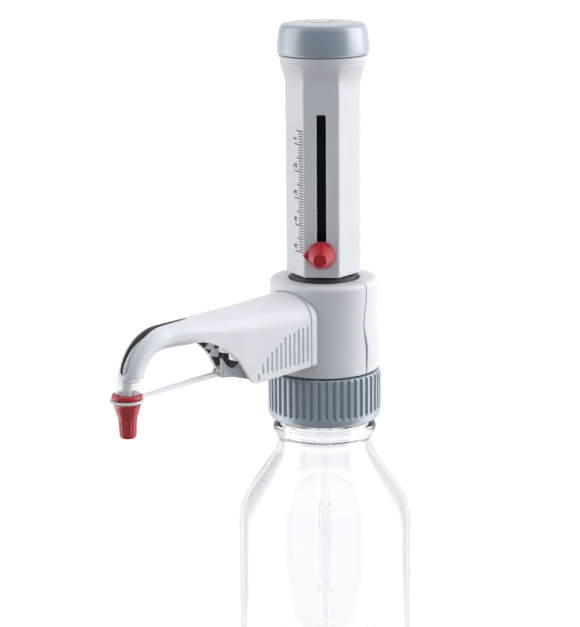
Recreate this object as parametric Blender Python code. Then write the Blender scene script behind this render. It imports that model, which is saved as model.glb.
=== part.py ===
"""Bottle-top dispenser, 5 ml, adjustable, screwed on a 500 ml laboratory bottle.

Every length is in millimetres and is turned into metres where a mesh is made. Z is up from
the bottle's flat base, whose centre is the origin, and the discharge arm points along -X.
Heights named LIFT_* are measured above the screw ring's top rim.
"""

import math

import bmesh
import bpy
from mathutils import Matrix, Vector

MM = 0.001
GAP = 0.3  # left between pieces that touch

# Bottle with a GL 45 neck
BOTTLE_R = 43.0
BOTTLE_H = 176.0
WALL = 2.3
NECK_R = 20.6
NECK_BORE_R = 15.3
THREAD_PITCH = 4.0
NECK_THREAD_R = 22.2

# Screw ring, whose top rim is the height that the dispenser is built up from
RIM = 179.5
RING_R = 27.6
RING_BORE_R = 23.0
RING_THREAD_R = 21.4
RING_RIBS = 24

# Valve block
BLOCK_R = 26.5
BLOCK_TOP = RIM + 45.4
BLOCK_WALL = 2.3
BLOCK_HOLE_R = 17.0
CORE_R = 20.5
OUTLET_Z = RIM + 24.0

# Cylinder, piston and stroke: 5 ml in a 10 mm bore
BORE_R = 5.0
STROKE = 5000.0 / (math.pi * BORE_R**2)
CYLINDER_Z = 210.4
SLEEVE_R = 9.0
COLLAR_R = 11.3

# Grip, an eight-sided housing that flares to a round top; its slot faces the azimuth GRIP_TURN
GRIP_Z0 = RIM + 48.5
GRIP_Z1 = RIM + 152.9
GRIP_TURN = math.radians(219.4)
GRIP_HALF = 17.85
FACET_HALF = 8.35
SIDE_HALF = 4.7
GRIP_WALL = 2.0
SLOT_HALF = 2.25
SLOT_Z0 = RIM + 56.2
SLOT_Z1 = RIM + 126.4
POINTER_Z = RIM + 59.6
POINTER_R = 6.8
CAP_Z = RIM + 153.2

# Discharge arm: straight to ARM_BEND, then a quarter bend down to the nozzle
ARM_ROOT = 22.2
NOZZLE_X = 128.6
ARM_BEND = 108.8
BEND_R = 17.6
ARM_AXIS_Z = RIM + 36.0
ARM_END_Z = RIM + 20.6
TUBE_R = 2.2
TUBE_BORE_R = 1.2
TUBE_CHANNEL_R = 2.7
HINGE_X = 71.0
HINGE_Z = RIM + 11.3
STRAP_RING_Z = RIM + 10.5


# --- materials ---------------------------------------------------------------------------


def material(name, colour, roughness, metallic=0.0, alpha=1.0):
    """A Principled material; alpha below 1 is for glass and clear plastic."""
    made = bpy.data.materials.get(name)
    if made:
        return made
    made = bpy.data.materials.new(name)
    made.use_nodes = True
    shader = made.node_tree.nodes["Principled BSDF"]
    shader.inputs["Base Color"].default_value = (*colour, 1.0)
    shader.inputs["Roughness"].default_value = roughness
    shader.inputs["Metallic"].default_value = metallic
    shader.inputs["Alpha"].default_value = alpha
    return made


def white():
    return material("pale_grey_plastic", (0.80, 0.82, 0.84), 0.4)


def blue():
    return material("blue_grey_plastic", (0.36, 0.43, 0.49), 0.4)


def dark():
    return material("dark_grey_plastic", (0.08, 0.085, 0.095), 0.5)


def red():
    return material("red_plastic", (0.55, 0.04, 0.06), 0.3)


def glass():
    return material("clear_glass", (0.92, 0.95, 0.96), 0.05, alpha=0.3)


def clear():
    return material("clear_plastic", (0.85, 0.88, 0.90), 0.15, alpha=0.5)


def fluoro():
    return material("white_fluoropolymer", (0.88, 0.88, 0.86), 0.5)


def ruby():
    return material("ruby", (0.6, 0.1, 0.15), 0.1, alpha=0.6)


def steel():
    return material("platinum_wire", (0.75, 0.75, 0.73), 0.25, metallic=1.0)


# --- shape helpers -----------------------------------------------------------------------


def solid(name, points, faces, finish, smooth=True):
    """An object from points in millimetres, with its faces turned outward."""
    mesh = bpy.data.meshes.new(name)
    mesh.from_pydata([[c * MM for c in p] for p in points], [], faces)
    work = bmesh.new()
    work.from_mesh(mesh)
    bmesh.ops.recalc_face_normals(work, faces=work.faces)
    work.to_mesh(mesh)
    work.free()
    if smooth:
        mesh.shade_smooth()
        mesh.set_sharp_from_angle(angle=math.radians(35))
    mesh.materials.append(finish)
    obj = bpy.data.objects.new(name, mesh)
    bpy.context.collection.objects.link(obj)
    return obj


def turned(name, outline, finish, steps=32, ripple=None):
    """Turn a closed (radius, height) outline about Z. ripple(k, i) changes a radius."""
    points = []
    rings = []
    for k, (r, z) in enumerate(outline):
        if r < 1e-6:
            rings.append([len(points)] * steps)
            points.append((0.0, 0.0, z))
            continue
        rings.append([len(points) + i for i in range(steps)])
        for i in range(steps):
            a = 2.0 * math.pi * i / steps
            rr = r + (ripple(k, i) if ripple else 0.0)
            points.append((rr * math.cos(a), rr * math.sin(a), z))
    faces = []
    for k, ring in enumerate(rings):
        after = rings[(k + 1) % len(rings)]
        if ring[0] == ring[1] and after[0] == after[1]:
            continue
        for i in range(steps):
            j = (i + 1) % steps
            corners = [ring[i], ring[j], after[j], after[i]]
            faces.append(list(dict.fromkeys(corners)))
    return solid(name, points, faces, finish)


def lofted(name, sections, finish, inner=None, smooth=True):
    """Skin over closed sections; with inner sections the ends are rings and it is hollow."""
    count = len(sections[0])
    points = [p for s in sections for p in s]
    rows = [[k * count + i for i in range(count)] for k in range(len(sections))]
    faces = skin(rows)
    if inner is None:
        faces.append(rows[0])
        faces.append(rows[-1])
        return solid(name, points, faces, finish, smooth)
    start = len(points)
    points += [p for s in inner for p in s]
    inside = [[start + k * count + i for i in range(count)] for k in range(len(inner))]
    faces += skin(inside)
    faces += skin([rows[0], inside[0]])
    faces += skin([rows[-1], inside[-1]])
    return solid(name, points, faces, finish, smooth)


def skin(rows):
    faces = []
    for a, b in zip(rows, rows[1:]):
        for i in range(len(a)):
            j = (i + 1) % len(a)
            faces.append([a[i], a[j], b[j], b[i]])
    return faces


def block(name, low, high, finish):
    """A box between two corners."""
    (x0, y0, z0), (x1, y1, z1) = low, high
    base = [(x0, y0), (x1, y0), (x1, y1), (x0, y1)]
    sections = [[(x, y, z) for x, y in base] for z in (z0, z1)]
    return lofted(name, sections, finish, smooth=False)


def rod(name, start, end, radius, finish, steps=20):
    """A plain round bar between two points."""
    start, end = Vector(start), Vector(end)
    turn = (end - start).to_track_quat("Z", "Y")
    sections = []
    for centre in (start, end):
        ring = []
        for i in range(steps):
            a = 2.0 * math.pi * i / steps
            offset = turn @ Vector((radius * math.cos(a), radius * math.sin(a), 0.0))
            ring.append(tuple(centre + offset))
        sections.append(ring)
    return lofted(name, sections, finish)


def combine(target, tool, operation):
    """Boolean with the exact solver; the tool stays in the file as a hidden guide."""
    change = target.modifiers.new(tool.name, "BOOLEAN")
    change.object = tool
    change.operation = operation
    change.solver = "EXACT"
    tool.hide_render = True
    tool.display_type = "WIRE"
    return target


def cut(target, tool):
    return combine(target, tool, "DIFFERENCE")


def join(target, tool):
    return combine(target, tool, "UNION")


def lay_along_arm(obj, z=OUTLET_Z):
    """Turn a piece made about Z so that its Z runs along -X, at height z."""
    obj.matrix_world = Matrix.Translation((0, 0, z * MM)) @ Matrix.Rotation(math.radians(-90), 4, "Y")
    return obj


def face_slot(obj):
    """Turn a piece made with its front towards -Y to the azimuth that the slot faces."""
    obj.matrix_world = Matrix.Rotation(GRIP_TURN + math.radians(90), 4, "Z") @ obj.matrix_world
    return obj


def arc(cx, cz, radius, start, end, steps):
    """Points (r, z) on an arc, angles in degrees from +r towards +z."""
    points = []
    for i in range(steps + 1):
        a = math.radians(start + (end - start) * i / steps)
        points.append((cx + radius * math.cos(a), cz + radius * math.sin(a)))
    return points


def helix_ridge(name, root_r, crest_r, half_width, z0, turns, finish, steps=24):
    """One tapered thread ridge, pitch THREAD_PITCH, rising anticlockwise from z0."""
    sections = []
    total = int(turns * steps)
    for i in range(total + 1):
        a = 2.0 * math.pi * i / steps
        z = z0 + THREAD_PITCH * i / steps
        fade = min(1.0, 4.0 * i / steps + 0.15, 4.0 * (total - i) / steps + 0.15)
        top = root_r + (crest_r - root_r) * fade
        corners = [
            (root_r, -half_width),
            (top, -0.42 * half_width),
            (top, 0.42 * half_width),
            (root_r, half_width),
        ]
        sections.append([(r * math.cos(a), r * math.sin(a), z + dz) for r, dz in corners])
    return lofted(name, sections, finish, smooth=False)


# --- bottle ------------------------------------------------------------------------------


def bottle_profile(inset):
    """The wall from the heel's top to the neck; inset moves it inward for the inside."""
    cone = 33.4
    lower = arc(BOTTLE_R - 30.0, 100.0, 30.0 - inset, 0.0, cone, 3)
    upper = arc(31.9, 141.2, 8.6 + inset, 180.0 + cone, 180.0, 2)
    return lower + upper


def reservoir_bottle():
    heel = arc(BOTTLE_R - 7.0, 7.0, 7.0, -90.0, 0.0, 3)
    outside = [(0.0, 0.0)] + heel + bottle_profile(0.0)
    outside += [(24.2, 146.4), (25.4, 148.6), (25.4, 150.2), (24.2, 151.4), (NECK_R, 151.7)]
    outside += [(NECK_R, BOTTLE_H - 0.8), (NECK_R - 0.8, BOTTLE_H)]
    inside = [(NECK_BORE_R + 0.8, BOTTLE_H), (NECK_BORE_R, BOTTLE_H - 0.8), (NECK_BORE_R, 150.0)]
    inside += [(17.6, 146.5)]
    inside += list(reversed(bottle_profile(WALL)))
    inside += [(BOTTLE_R - WALL, 9.0), (BOTTLE_R - 6.5, 4.6), (0.0, 4.2)]
    bottle = turned("reservoir_bottle", outside + inside, glass())
    ridge = helix_ridge("neck_thread", NECK_R - 0.5, NECK_THREAD_R, 1.1, 160.0, 2.5, glass())
    join(bottle, ridge)


def neck_gasket():
    z = BOTTLE_H + GAP
    turned("neck_gasket", [(15.6, z), (20.3, z), (20.3, z + 1.0), (15.6, z + 1.0)], fluoro())


def screw_ring():
    outer = [
        (27.2, RIM),
        (RING_R, RIM - 1.6),
        (RING_R + 0.2, RIM - 19.7),
        (RING_R + 0.2, RIM - 22.6),
        (26.9, RIM - 23.7),
        (24.3, RIM - 24.2),
    ]
    inner = [
        (RING_BORE_R, RIM - 24.2),
        (RING_BORE_R, RIM - 0.6),
        (17.3, RIM - 0.6),
        (17.3, RIM + 2.1),
        (23.4, RIM + 2.1),
        (23.4, RIM),
    ]

    def ribs(k, i):
        return -0.75 if k in (1, 2) and i % 2 else 0.0

    ring = turned("screw_ring", outer + inner, blue(), steps=2 * RING_RIBS, ripple=ribs)
    ridge = helix_ridge("ring_thread", RING_BORE_R + 0.5, RING_THREAD_R, 1.0, 158.0, 3.0, blue())
    join(ring, ridge)


# --- valve block -------------------------------------------------------------------------


def retaining_plate():
    z = RIM - 1.9
    turned("retaining_plate", [(7.6, z), (21.0, z), (21.0, z + 1.0), (7.6, z + 1.0)], white())


def valve_block():
    outline = [
        (7.3, RIM - 0.6),
        (17.0, RIM - 0.6),
        (17.0, RIM + 2.5),
        (CORE_R, RIM + 2.5),
        (CORE_R, 212.0),
        (7.2, 212.0),
        (7.2, 209.0),
        (4.2, 209.0),
        (4.2, 197.8),
        (7.3, 197.8),
    ]
    core = turned("valve_block", outline, white())
    cut(core, rod("outlet_port", (-3, 0, OUTLET_Z), (-24, 0, OUTLET_Z), 2.0, white(), 12))
    cut(core, rod("outlet_socket", (-17.5, 0, OUTLET_Z), (-24, 0, OUTLET_Z), 6.8, white()))


def block_profile(bulge):
    """The block's outer wall, bottom to top; bulge swells the rear cover's lower half."""
    points = []
    for i in range(7):
        z = RIM + 1.0 + 6.0 * i
        swell = bulge * math.sin(math.pi * min(1.0, i / 4.0))
        points.append((BLOCK_R + swell, z))
    points += arc(BLOCK_R - 2.6, BLOCK_TOP - 2.6, 2.6, 0.0, 90.0, 4)
    return points


def block_shell(name, bulge, finish):
    outer = block_profile(bulge)
    inner_r = BLOCK_R - BLOCK_WALL
    inner = [
        (BLOCK_HOLE_R, BLOCK_TOP),
        (BLOCK_HOLE_R, BLOCK_TOP - BLOCK_WALL),
        (inner_r - 2.0, BLOCK_TOP - BLOCK_WALL),
        (inner_r, BLOCK_TOP - BLOCK_WALL - 2.0),
        (inner_r, RIM + 1.0),
    ]
    return turned(name, outer + inner, finish, steps=48)


def block_front_shell():
    shell = block_shell("block_front_shell", 0.0, white())
    keep_out = block("rear_half", (1.2, -40, RIM - 5), (40, 40, BLOCK_TOP + 5), white())
    cut(shell, keep_out)
    flange = [arm_section(s, 0.3) for s in (ARM_ROOT - GAP, ARM_ROOT + 15.0)]
    cut(shell, lofted("flange_seat", flange, white()))
    window = rod("outlet_window", (-18, 0, OUTLET_Z), (-40, 0, OUTLET_Z), 9.2, white())
    cut(shell, window)


def block_rear_cover():
    shell = block_shell("block_rear_cover", 0.7, white())
    cut(shell, block("front_half", (-40, -40, RIM - 5), (1.5, 40, BLOCK_TOP + 5), white()))
    cut(shell, block("vent_mouth", (18, -3.5, RIM), (40, 3.5, RIM + 3.2), white()))


def air_vent_plug():
    outline = [(0, 1.0), (3.4, 1.0), (3.4, 2.0), (2.6, 2.6), (2.6, 3.3), (0, 3.3)]
    plug = turned("air_vent_plug", outline, dark(), steps=16)
    turn = Matrix.Rotation(math.radians(90), 4, "Y")
    plug.matrix_world = Matrix.Translation(((CORE_R - 0.6) * MM, 0, (RIM + 12) * MM)) @ turn


def cylinder_nut():
    outline = [
        (SLEEVE_R + GAP, 212.3),
        (16.4, 212.3),
        (16.4, RIM + 46.4),
        (15.4, RIM + 47.5),
        (SLEEVE_R + GAP, RIM + 47.5),
    ]
    turned("cylinder_nut", outline, dark())


def cylinder_seal():
    turned("cylinder_seal", [(4.6, 209.3), (6.9, 209.3), (6.9, 210.1), (4.6, 210.1)], fluoro(), 24)


def glass_cylinder():
    top = CYLINDER_Z + STROKE + 19.0
    outline = [(BORE_R, CYLINDER_Z), (6.9, CYLINDER_Z), (6.9, top), (BORE_R, top)]
    turned("glass_cylinder", outline, glass(), 24)


def cylinder_sleeve():
    collar = POINTER_Z + STROKE + 1.8
    outline = [
        (7.2, 212.3),
        (SLEEVE_R, 212.3),
        (SLEEVE_R, collar),
        (COLLAR_R, collar),
        (COLLAR_R, collar + 2.8),
        (7.2, collar + 2.8),
    ]
    turned("cylinder_sleeve", outline, clear(), 24)


# --- filling side ------------------------------------------------------------------------


def filling_valve_body():
    outline = [
        (1.8, 157.5),
        (2.75, 157.5),
        (2.75, 166.0),
        (7.0, 167.0),
        (7.0, 192.5),
        (4.0, 192.5),
        (4.0, 186.0),
        (1.8, 183.6),
    ]
    turned("filling_valve_body", outline, fluoro(), 20)


def filling_valve_ball():
    ball = turned("filling_valve_ball", arc(0, 0, 2.9, -90, 90, 6), ruby(), 14)
    ball.location = (0, 0, 188.1 * MM)


def filling_valve_cage():
    z = 192.8
    outline = [(1.2, z + 0.4), (3.2, z), (7.0, z), (7.0, z + 4.4), (1.2, z + 4.4)]
    turned("filling_valve_cage", outline, fluoro(), 24)


def filling_tube_upper():
    outline = [(2.95, 62.0), (3.65, 62.0), (3.65, 165.6), (2.95, 165.6)]
    turned("filling_tube_upper", outline, clear(), 16)


def filling_tube_lower():
    outline = [(1.9, 9.0), (2.7, 9.0), (2.7, 108.0), (1.9, 108.0)]
    tube = turned("filling_tube_lower", outline, clear(), 16)
    foot = lofted(
        "oblique_foot",
        [[(-4, y, 5.0), (4, y, 5.0), (4, y, 13.0)] for y in (-4, 4)],
        clear(),
        smooth=False,
    )
    cut(tube, foot)


# --- discharge side ----------------------------------------------------------------------


def arm_half_width(s):
    """Half the arm's width at distance s from the block's axis."""
    knots = [(ARM_ROOT, 16.0), (26.0, 16.0), (59.0, 12.6), (94.0, 8.6), (107.0, 6.6), (140.0, 5.7)]
    return between(knots, s)


def between(knots, s):
    """Straight-line value at s from (place, value) knots."""
    if s <= knots[0][0]:
        return knots[0][1]
    for (s0, v0), (s1, v1) in zip(knots, knots[1:]):
        if s <= s1:
            return v0 + (v1 - v0) * (s - s0) / (s1 - s0)
    return knots[-1][1]


def arm_top(s):
    return between([(ARM_ROOT, RIM + 42.3), (60.0, RIM + 41.5), (ARM_BEND, ARM_AXIS_Z + 5.2)], s)


def arm_floor(s):
    """The bottom of the full section, which lies below the cut-out's edge."""
    knots = [(ARM_ROOT, RIM + 8.5), (60.0, RIM + 5.9), (80.0, RIM + 20.0), (97.0, ARM_AXIS_Z - 4.8)]
    return between(knots, s)


def arch(half, low, high, corner, grow=0.0):
    """An arch seen along the arm, as (y, z): flat bottom, upright sides, rounded top."""
    half, low, high = half + grow, low - grow, high + grow
    rise = min(corner, high - low)
    points = [(-half, low), (-half, low + 0.5 * (high - rise - low))]
    for i in range(11):
        a = math.pi * (1.0 - i / 10.0)
        points.append((half * math.cos(a), high - rise + rise * math.sin(a)))
    points += [(half, low + 0.5 * (high - rise - low)), (half, low), (0.5 * half, low), (0.0, low)]
    points += [(-0.5 * half, low)]
    return points


def arm_section(s, grow=0.0):
    low, high, half = arm_floor(s), arm_top(s), arm_half_width(s)
    corner = between([(ARM_ROOT, 12.0), (60.0, 11.0), (97.0, 5.4)], s)
    section = arch(half, low, high, corner, grow)
    return [(-s, y, z) for y, z in section]


def bend_point(angle, out, y):
    """A point by the bend: angle from the top of the bend, out from its centre line."""
    a = math.radians(angle)
    radius = BEND_R + out
    return (-(ARM_BEND + radius * math.sin(a)), y, ARM_AXIS_Z - BEND_R + radius * math.cos(a))


def tube_point(angle):
    """The tube's centre line in the bend: it drifts outwards to end over the nozzle's axis."""
    drift = NOZZLE_X - ARM_BEND - BEND_R
    return bend_point(angle, drift * math.sin(math.radians(angle)) ** 2, 0.0)


def bend_section(angle):
    """The arm's oval section in the bend, as many points as arch() gives."""
    half = between([(0.0, 6.65), (70.0, 5.9)], angle)
    points = []
    low = -4.8 + 0.9 * math.sin(math.radians(angle))
    for y, z in arch(half, low, 5.2, 5.1):
        if z < -2.4:
            y *= 0.62 if abs(y) > 0.6 * half else 0.8
        points.append(bend_point(angle, z, y))
    return points


def cut_out_profile():
    """The arched lower edge of the hood, in the (distance, height) plane."""
    edge = [(59.4, -10.0), (59.4, 5.9), (61.6, 7.0), (64.8, 12.2), (69.1, 18.5), (74.7, 23.6)]
    edge += [(81.3, 28.0), (88.4, 30.8), (93.0, 31.3), (97.0, 31.3)]
    return edge + [(97.0, -10.0)]


def arm_housing():
    finish = white()
    straight = [ARM_ROOT, 26.0, 40.0, 59.0, 70.0, 80.0, 89.0, 97.0, 103.0]
    sections = [arm_section(s) for s in straight]
    sections += [bend_section(a) for a in (0.0, 14.0, 28.0, 42.0, 56.0, 70.0, 80.0, 89.0)]
    arm = lofted("arm_housing", sections, finish)
    hollow = []
    for s in (ARM_ROOT - 2.0, 40.0, 60.0, 75.0, 88.0):
        half = arm_half_width(s) - 2.0
        corner = between([(ARM_ROOT, 10.5), (60.0, 9.5), (88.0, 5.0)], s)
        hollow.append([(-s, y, z) for y, z in arch(half, RIM - 4.0, arm_top(s) - 2.0, corner)])
    cut(arm, lofted("hood_hollow", hollow, finish))
    side = [[(-s, y, RIM + z) for s, z in cut_out_profile()] for y in (-30.0, 30.0)]
    cut(arm, lofted("hood_cut_out", side, finish, smooth=False))
    cut(arm, block("flat_end", (-140, -14, RIM), (-118, 14, ARM_END_Z), finish))
    channel = tube_rings(arm_channel_path(), TUBE_CHANNEL_R, 12)
    cut(arm, lofted("tube_channel", channel, finish))
    slot = []
    for s, half in ((93.0, 0.7), (100.0, 1.1), (ARM_BEND, 1.4)):
        slot.append([(-s, y, ARM_AXIS_Z + h) for y, h in slot_corners(half)])
    for angle, half in ((14.0, 1.6), (28.0, 1.7), (42.0, 1.75), (56.0, 1.75), (70.0, 1.5)):
        slot.append([bend_point(angle, h, y) for y, h in slot_corners(half)])
    cut(arm, lofted("tube_slot", slot, finish, smooth=False))


def slot_corners(half):
    """The slot's section as (side, height): it opens from the tube's channel outwards."""
    return ((-half, 0.0), (half, 0.0), (half, 9.0), (-half, 9.0))


def arm_channel_path():
    path = [(-85.0, 0.0, ARM_AXIS_Z)]
    path += [tube_point(a) for a in (0, 12, 24, 36, 48, 60, 72, 84)]
    path.append((-NOZZLE_X, 0.0, ARM_END_Z - 4.0))
    return path


def tube_rings(path, radius, steps):
    """Rings square to a path that lies in the plane of the arm."""
    rings = []
    for k, point in enumerate(path):
        before = Vector(path[max(0, k - 1)])
        after = Vector(path[min(len(path) - 1, k + 1)])
        ahead = (after - before).normalized()
        side = Vector((0, 1, 0))
        up = ahead.cross(side)
        ring = []
        for i in range(steps):
            a = 2.0 * math.pi * i / steps
            offset = side * radius * math.cos(a) + up * radius * math.sin(a)
            ring.append(tuple(Vector(point) + offset))
        rings.append(ring)
    return rings


def discharge_tube():
    path = [(-42.0, 0.0, OUTLET_Z), (-52.0, 0.0, OUTLET_Z)]
    for i in range(1, 6):
        t = i / 6.0
        rise = (ARM_AXIS_Z - OUTLET_Z) * (3.0 * t * t - 2.0 * t**3)
        path.append((-(52.0 + 34.0 * t), 0.0, OUTLET_Z + rise))
    path.append((-86.0, 0.0, ARM_AXIS_Z))
    path += [tube_point(a) for a in range(0, 91, 10)]
    path.append((-NOZZLE_X, 0.0, RIM + 3.0))
    outer = tube_rings(path, TUBE_R, 8)
    inner = tube_rings(path, TUBE_BORE_R, 8)
    lofted("discharge_tube", outer, clear(), inner)


def nozzle_sleeve():
    """A short skirt under the arm's end, open below and in front, round the tube."""
    centre = -(NOZZLE_X - 1.2)
    top = ARM_END_Z - GAP
    outline = [(0.0, top), (6.2, top), (6.2, top - 6.4), (5.1, top - 6.4), (5.1, top - 1.5), (0.0, top - 1.5)]
    skirt = turned("nozzle_sleeve", outline, white(), 24)
    skirt.location = (centre * MM, 0, 0)
    cut(skirt, rod("tube_bore", (-NOZZLE_X, 0, top - 3), (-NOZZLE_X, 0, top + 1), 2.6, white(), 16))
    low, high = (centre - 8.0, -8.0, top - 8.0), (centre - 3.5, 8.0, top - 1.5)
    cut(skirt, block("skirt_window", low, high, white()))


def discharge_valve_body():
    outline = [
        (1.5, 17.9),
        (6.5, 17.9),
        (6.5, 25.0),
        (8.4, 25.0),
        (8.4, 28.0),
        (6.5, 28.0),
        (6.5, 40.7),
        (2.6, 40.7),
        (2.6, 36.5),
        (3.5, 36.5),
        (3.5, 24.5),
        (1.5, 23.2),
    ]
    lay_along_arm(turned("discharge_valve_body", outline, white(), 18))


def discharge_valve_ball():
    ball = turned("discharge_valve_ball", arc(0, 0, 2.7, -90, 90, 6), ruby(), 14)
    ball.location = (-25.8 * MM, 0, OUTLET_Z * MM)


def discharge_valve_spring():
    turns, wire, mean = 5.0, 0.35, 2.3
    start, end = 29.7, 35.6
    steps = int(turns * 10)
    rings = []
    for k in range(steps + 1):
        a = 2.0 * math.pi * turns * k / steps
        centre = Vector((mean * math.cos(a), mean * math.sin(a), start + (end - start) * k / steps))
        out = Vector((math.cos(a), math.sin(a), 0.0))
        ring = []
        for i in range(4):
            b = 0.5 * math.pi * i
            ring.append(tuple(centre + wire * (out * math.cos(b) + Vector((0, 0, math.sin(b))))))
        rings.append(ring)
    lay_along_arm(lofted("discharge_valve_spring", rings, steel(), smooth=False))


def tube_nut():
    outline = [(2.5, 41.0), (7.6, 41.0), (7.6, 49.0), (6.2, 50.5), (2.5, 50.5)]

    def knurl(k, i):
        return -0.5 if k in (1, 2) and i % 2 else 0.0

    lay_along_arm(turned("tube_nut", outline, dark(), 32, ripple=knurl))


def holder_clip():
    """An upright cup under the valve, with a pair of ears for the strap's pin."""
    x = -62.0
    z0, z1 = RIM + 5.0, RIM + 16.2
    cup = turned("holder_clip", [(4.6, z0), (6.2, z0), (6.2, z1), (4.6, z1)], white(), 24)
    cup.matrix_world = Matrix.Translation((x * MM, 0, 0))
    saddle = [(-8.0, 14.1), (0.5, 14.1), (5.2, 16.2), (5.2, 20.0), (-8.0, 20.0)]
    sides = [[(end, y, RIM + z) for y, z in saddle] for end in (x - 8.0, x + 8.0)]
    cut(cup, lofted("saddle", sides, white(), smooth=False))
    slope = [(x + 8.0, 5.2), (x - 8.0, 10.2), (x - 8.0, 2.0), (x + 8.0, 2.0)]
    sides = [[(along, y, RIM + z) for along, z in slope] for y in (-8.0, 8.0)]
    cut(cup, lofted("foot_slope", sides, white(), smooth=False))
    for side in (-1.0, 1.0):
        low = (-HINGE_X - 2.2, min(side * 2.3, side * 4.0), HINGE_Z - 2.2)
        high = (x - 5.0, max(side * 2.3, side * 4.0), HINGE_Z + 2.2)
        join(cup, block("clip_ear", low, high, white()))
    for side in (-1.0, 1.0):
        low = (x - 2.0, min(side * 4.8, side * 6.2), RIM + 11.0)
        high = (x + 2.0, max(side * 4.8, side * 6.2), RIM + 35.6)
        join(cup, block("clip_post", low, high, white()))
    cut(cup, rod("pin_bore", (-HINGE_X, -9, HINGE_Z), (-HINGE_X, 9, HINGE_Z), 1.2, white(), 12))


def strap_pin():
    rod("strap_pin", (-HINGE_X, -4.6, HINGE_Z), (-HINGE_X, 4.6, HINGE_Z), 0.9, steel(), 12)


def cap_strap():
    """Flat strap from the pin's eye to the ring round the cap."""
    low, high = STRAP_RING_Z - 0.55, STRAP_RING_Z + 0.55
    outline = [(6.45, low), (7.8, low), (7.8, high), (6.45, high)]
    strap = turned("cap_strap", outline, fluoro(), 32)
    strap.matrix_world = Matrix.Translation((-NOZZLE_X * MM, 0, 0))
    knots = [(HINGE_X, 0.0, 0.9), (98.0, -0.4, 0.85), (NOZZLE_X - 7.2, -0.8, 0.5)]
    bar = []
    for s, drop, half in knots:
        z = HINGE_Z + drop
        bar.append([(-s, y, z + h) for y, h in ((-1.7, -half), (1.7, -half), (1.7, half), (-1.7, half))])
    join(strap, lofted("strap_bar", bar, fluoro(), smooth=False))
    join(strap, rod("strap_eye", (-HINGE_X, -1.9, HINGE_Z), (-HINGE_X, 1.9, HINGE_Z), 2.0, fluoro(), 16))
    cut(strap, rod("eye_bore", (-HINGE_X, -3, HINGE_Z), (-HINGE_X, 3, HINGE_Z), 1.2, fluoro(), 12))


def nozzle_cap():
    outline = [
        (0.0, RIM - 6.9),
        (3.0, RIM - 6.9),
        (4.0, RIM - 5.9),
        (4.5, RIM - 0.9),
        (4.8, RIM + 2.8),
        (5.9, RIM + 6.6),
        (6.4, RIM + 8.6),
        (6.9, RIM + 9.4),
        (6.15, RIM + 9.8),
        (6.15, RIM + 11.2),
        (6.9, RIM + 11.5),
        (6.9, RIM + 13.3),
        (6.5, RIM + 13.6),
        (4.6, RIM + 13.6),
        (3.5, RIM + 9.0),
        (3.2, RIM - 3.0),
        (0.0, RIM - 4.5),
    ]
    cap = turned("nozzle_cap", outline, red(), 18)
    cap.matrix_world = Matrix.Translation((-NOZZLE_X * MM, 0, 0))


# --- grip --------------------------------------------------------------------------------


def octagon(scale):
    """The grip's eight corners for an apothem scale, front facet towards -Y."""
    k = scale / GRIP_HALF
    f, h, s = FACET_HALF * k, GRIP_HALF * k, SIDE_HALF * k
    return [(-f, -h), (f, -h), (h, -s), (h, s), (f, h), (-f, h), (-h, s), (-h, -s)]


def grip_loop(apothem, roundness, z):
    """32 points that go from the octagon (roundness 0) to a circle (roundness 1)."""
    corners = octagon(apothem)
    loop = []
    for (x0, y0), (x1, y1) in zip(corners, corners[1:] + corners[:1]):
        for i in range(4):
            t = i / 4.0
            x, y = x0 + (x1 - x0) * t, y0 + (y1 - y0) * t
            size = math.hypot(x, y)
            factor = 1.0 + roundness * (apothem / size - 1.0)
            loop.append((x * factor, y * factor, z))
    return loop


def grip_levels(inset):
    """Outer or, with an inset, inner sections of the grip's housing."""
    levels = [
        (GRIP_Z0, GRIP_HALF, 0.0),
        (RIM + 138.0, GRIP_HALF, 0.0),
        (RIM + 141.5, 18.1, 0.25),
        (RIM + 144.7, 19.07, 0.55),
        (RIM + 148.5, 20.4, 0.85),
        (GRIP_Z1, 21.25, 1.0),
    ]
    return [grip_loop(a - inset, r, z) for z, a, r in levels]


def grip_housing():
    housing = lofted("grip_housing", grip_levels(0.0), white(), grip_levels(GRIP_WALL))
    low = (-SLOT_HALF, -GRIP_HALF - 3, SLOT_Z0)
    high = (SLOT_HALF, -GRIP_HALF + 4, SLOT_Z1)
    cut(housing, block("pointer_slot", low, high, white()))
    for obj in (housing, bpy.data.objects["pointer_slot"]):
        face_slot(obj)


def grip_ring(name, apothem, bore, z0, z1, finish):
    """A plate that fills the grip's section and has a round bore."""
    outer = [grip_loop(apothem, 0.0, z) for z in (z0, z1)]
    inner = []
    for z in (z0, z1):
        ring = []
        for x, y, _ in outer[0]:
            size = math.hypot(x, y)
            ring.append((x * bore / size, y * bore / size, z))
        inner.append(ring)
    return face_slot(lofted(name, outer, finish, inner))


def lower_guide():
    grip_ring("lower_guide", GRIP_HALF - GRIP_WALL - GAP, SLEEVE_R + GAP, GRIP_Z0 + 0.5, GRIP_Z0 + 5.5, dark())


def rod_carrier():
    grip_ring("rod_carrier", GRIP_HALF - GRIP_WALL - GAP, 5.3, 318.0, 322.0, dark())


def rack_rail():
    """A toothed rail behind the slot; its teeth face the slot."""
    front, root, back = -13.7, -13.1, -11.8
    z0, z1 = GRIP_Z0 + 6.5, 317.6
    count = int((z1 - z0) / 3.0)
    pitch = (z1 - z0) / count
    outline = []
    for i in range(count):
        z = z0 + i * pitch
        outline += [(root, z), (root, z + 0.5 * pitch), (front, z + 0.5 * pitch), (front, z + pitch)]
    outline += [(back, z1), (back, z0)]
    sections = [[(x, y, z) for y, z in outline] for x in (-3.4, 3.4)]
    face_slot(lofted("rack_rail", sections, dark(), smooth=False))


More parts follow.
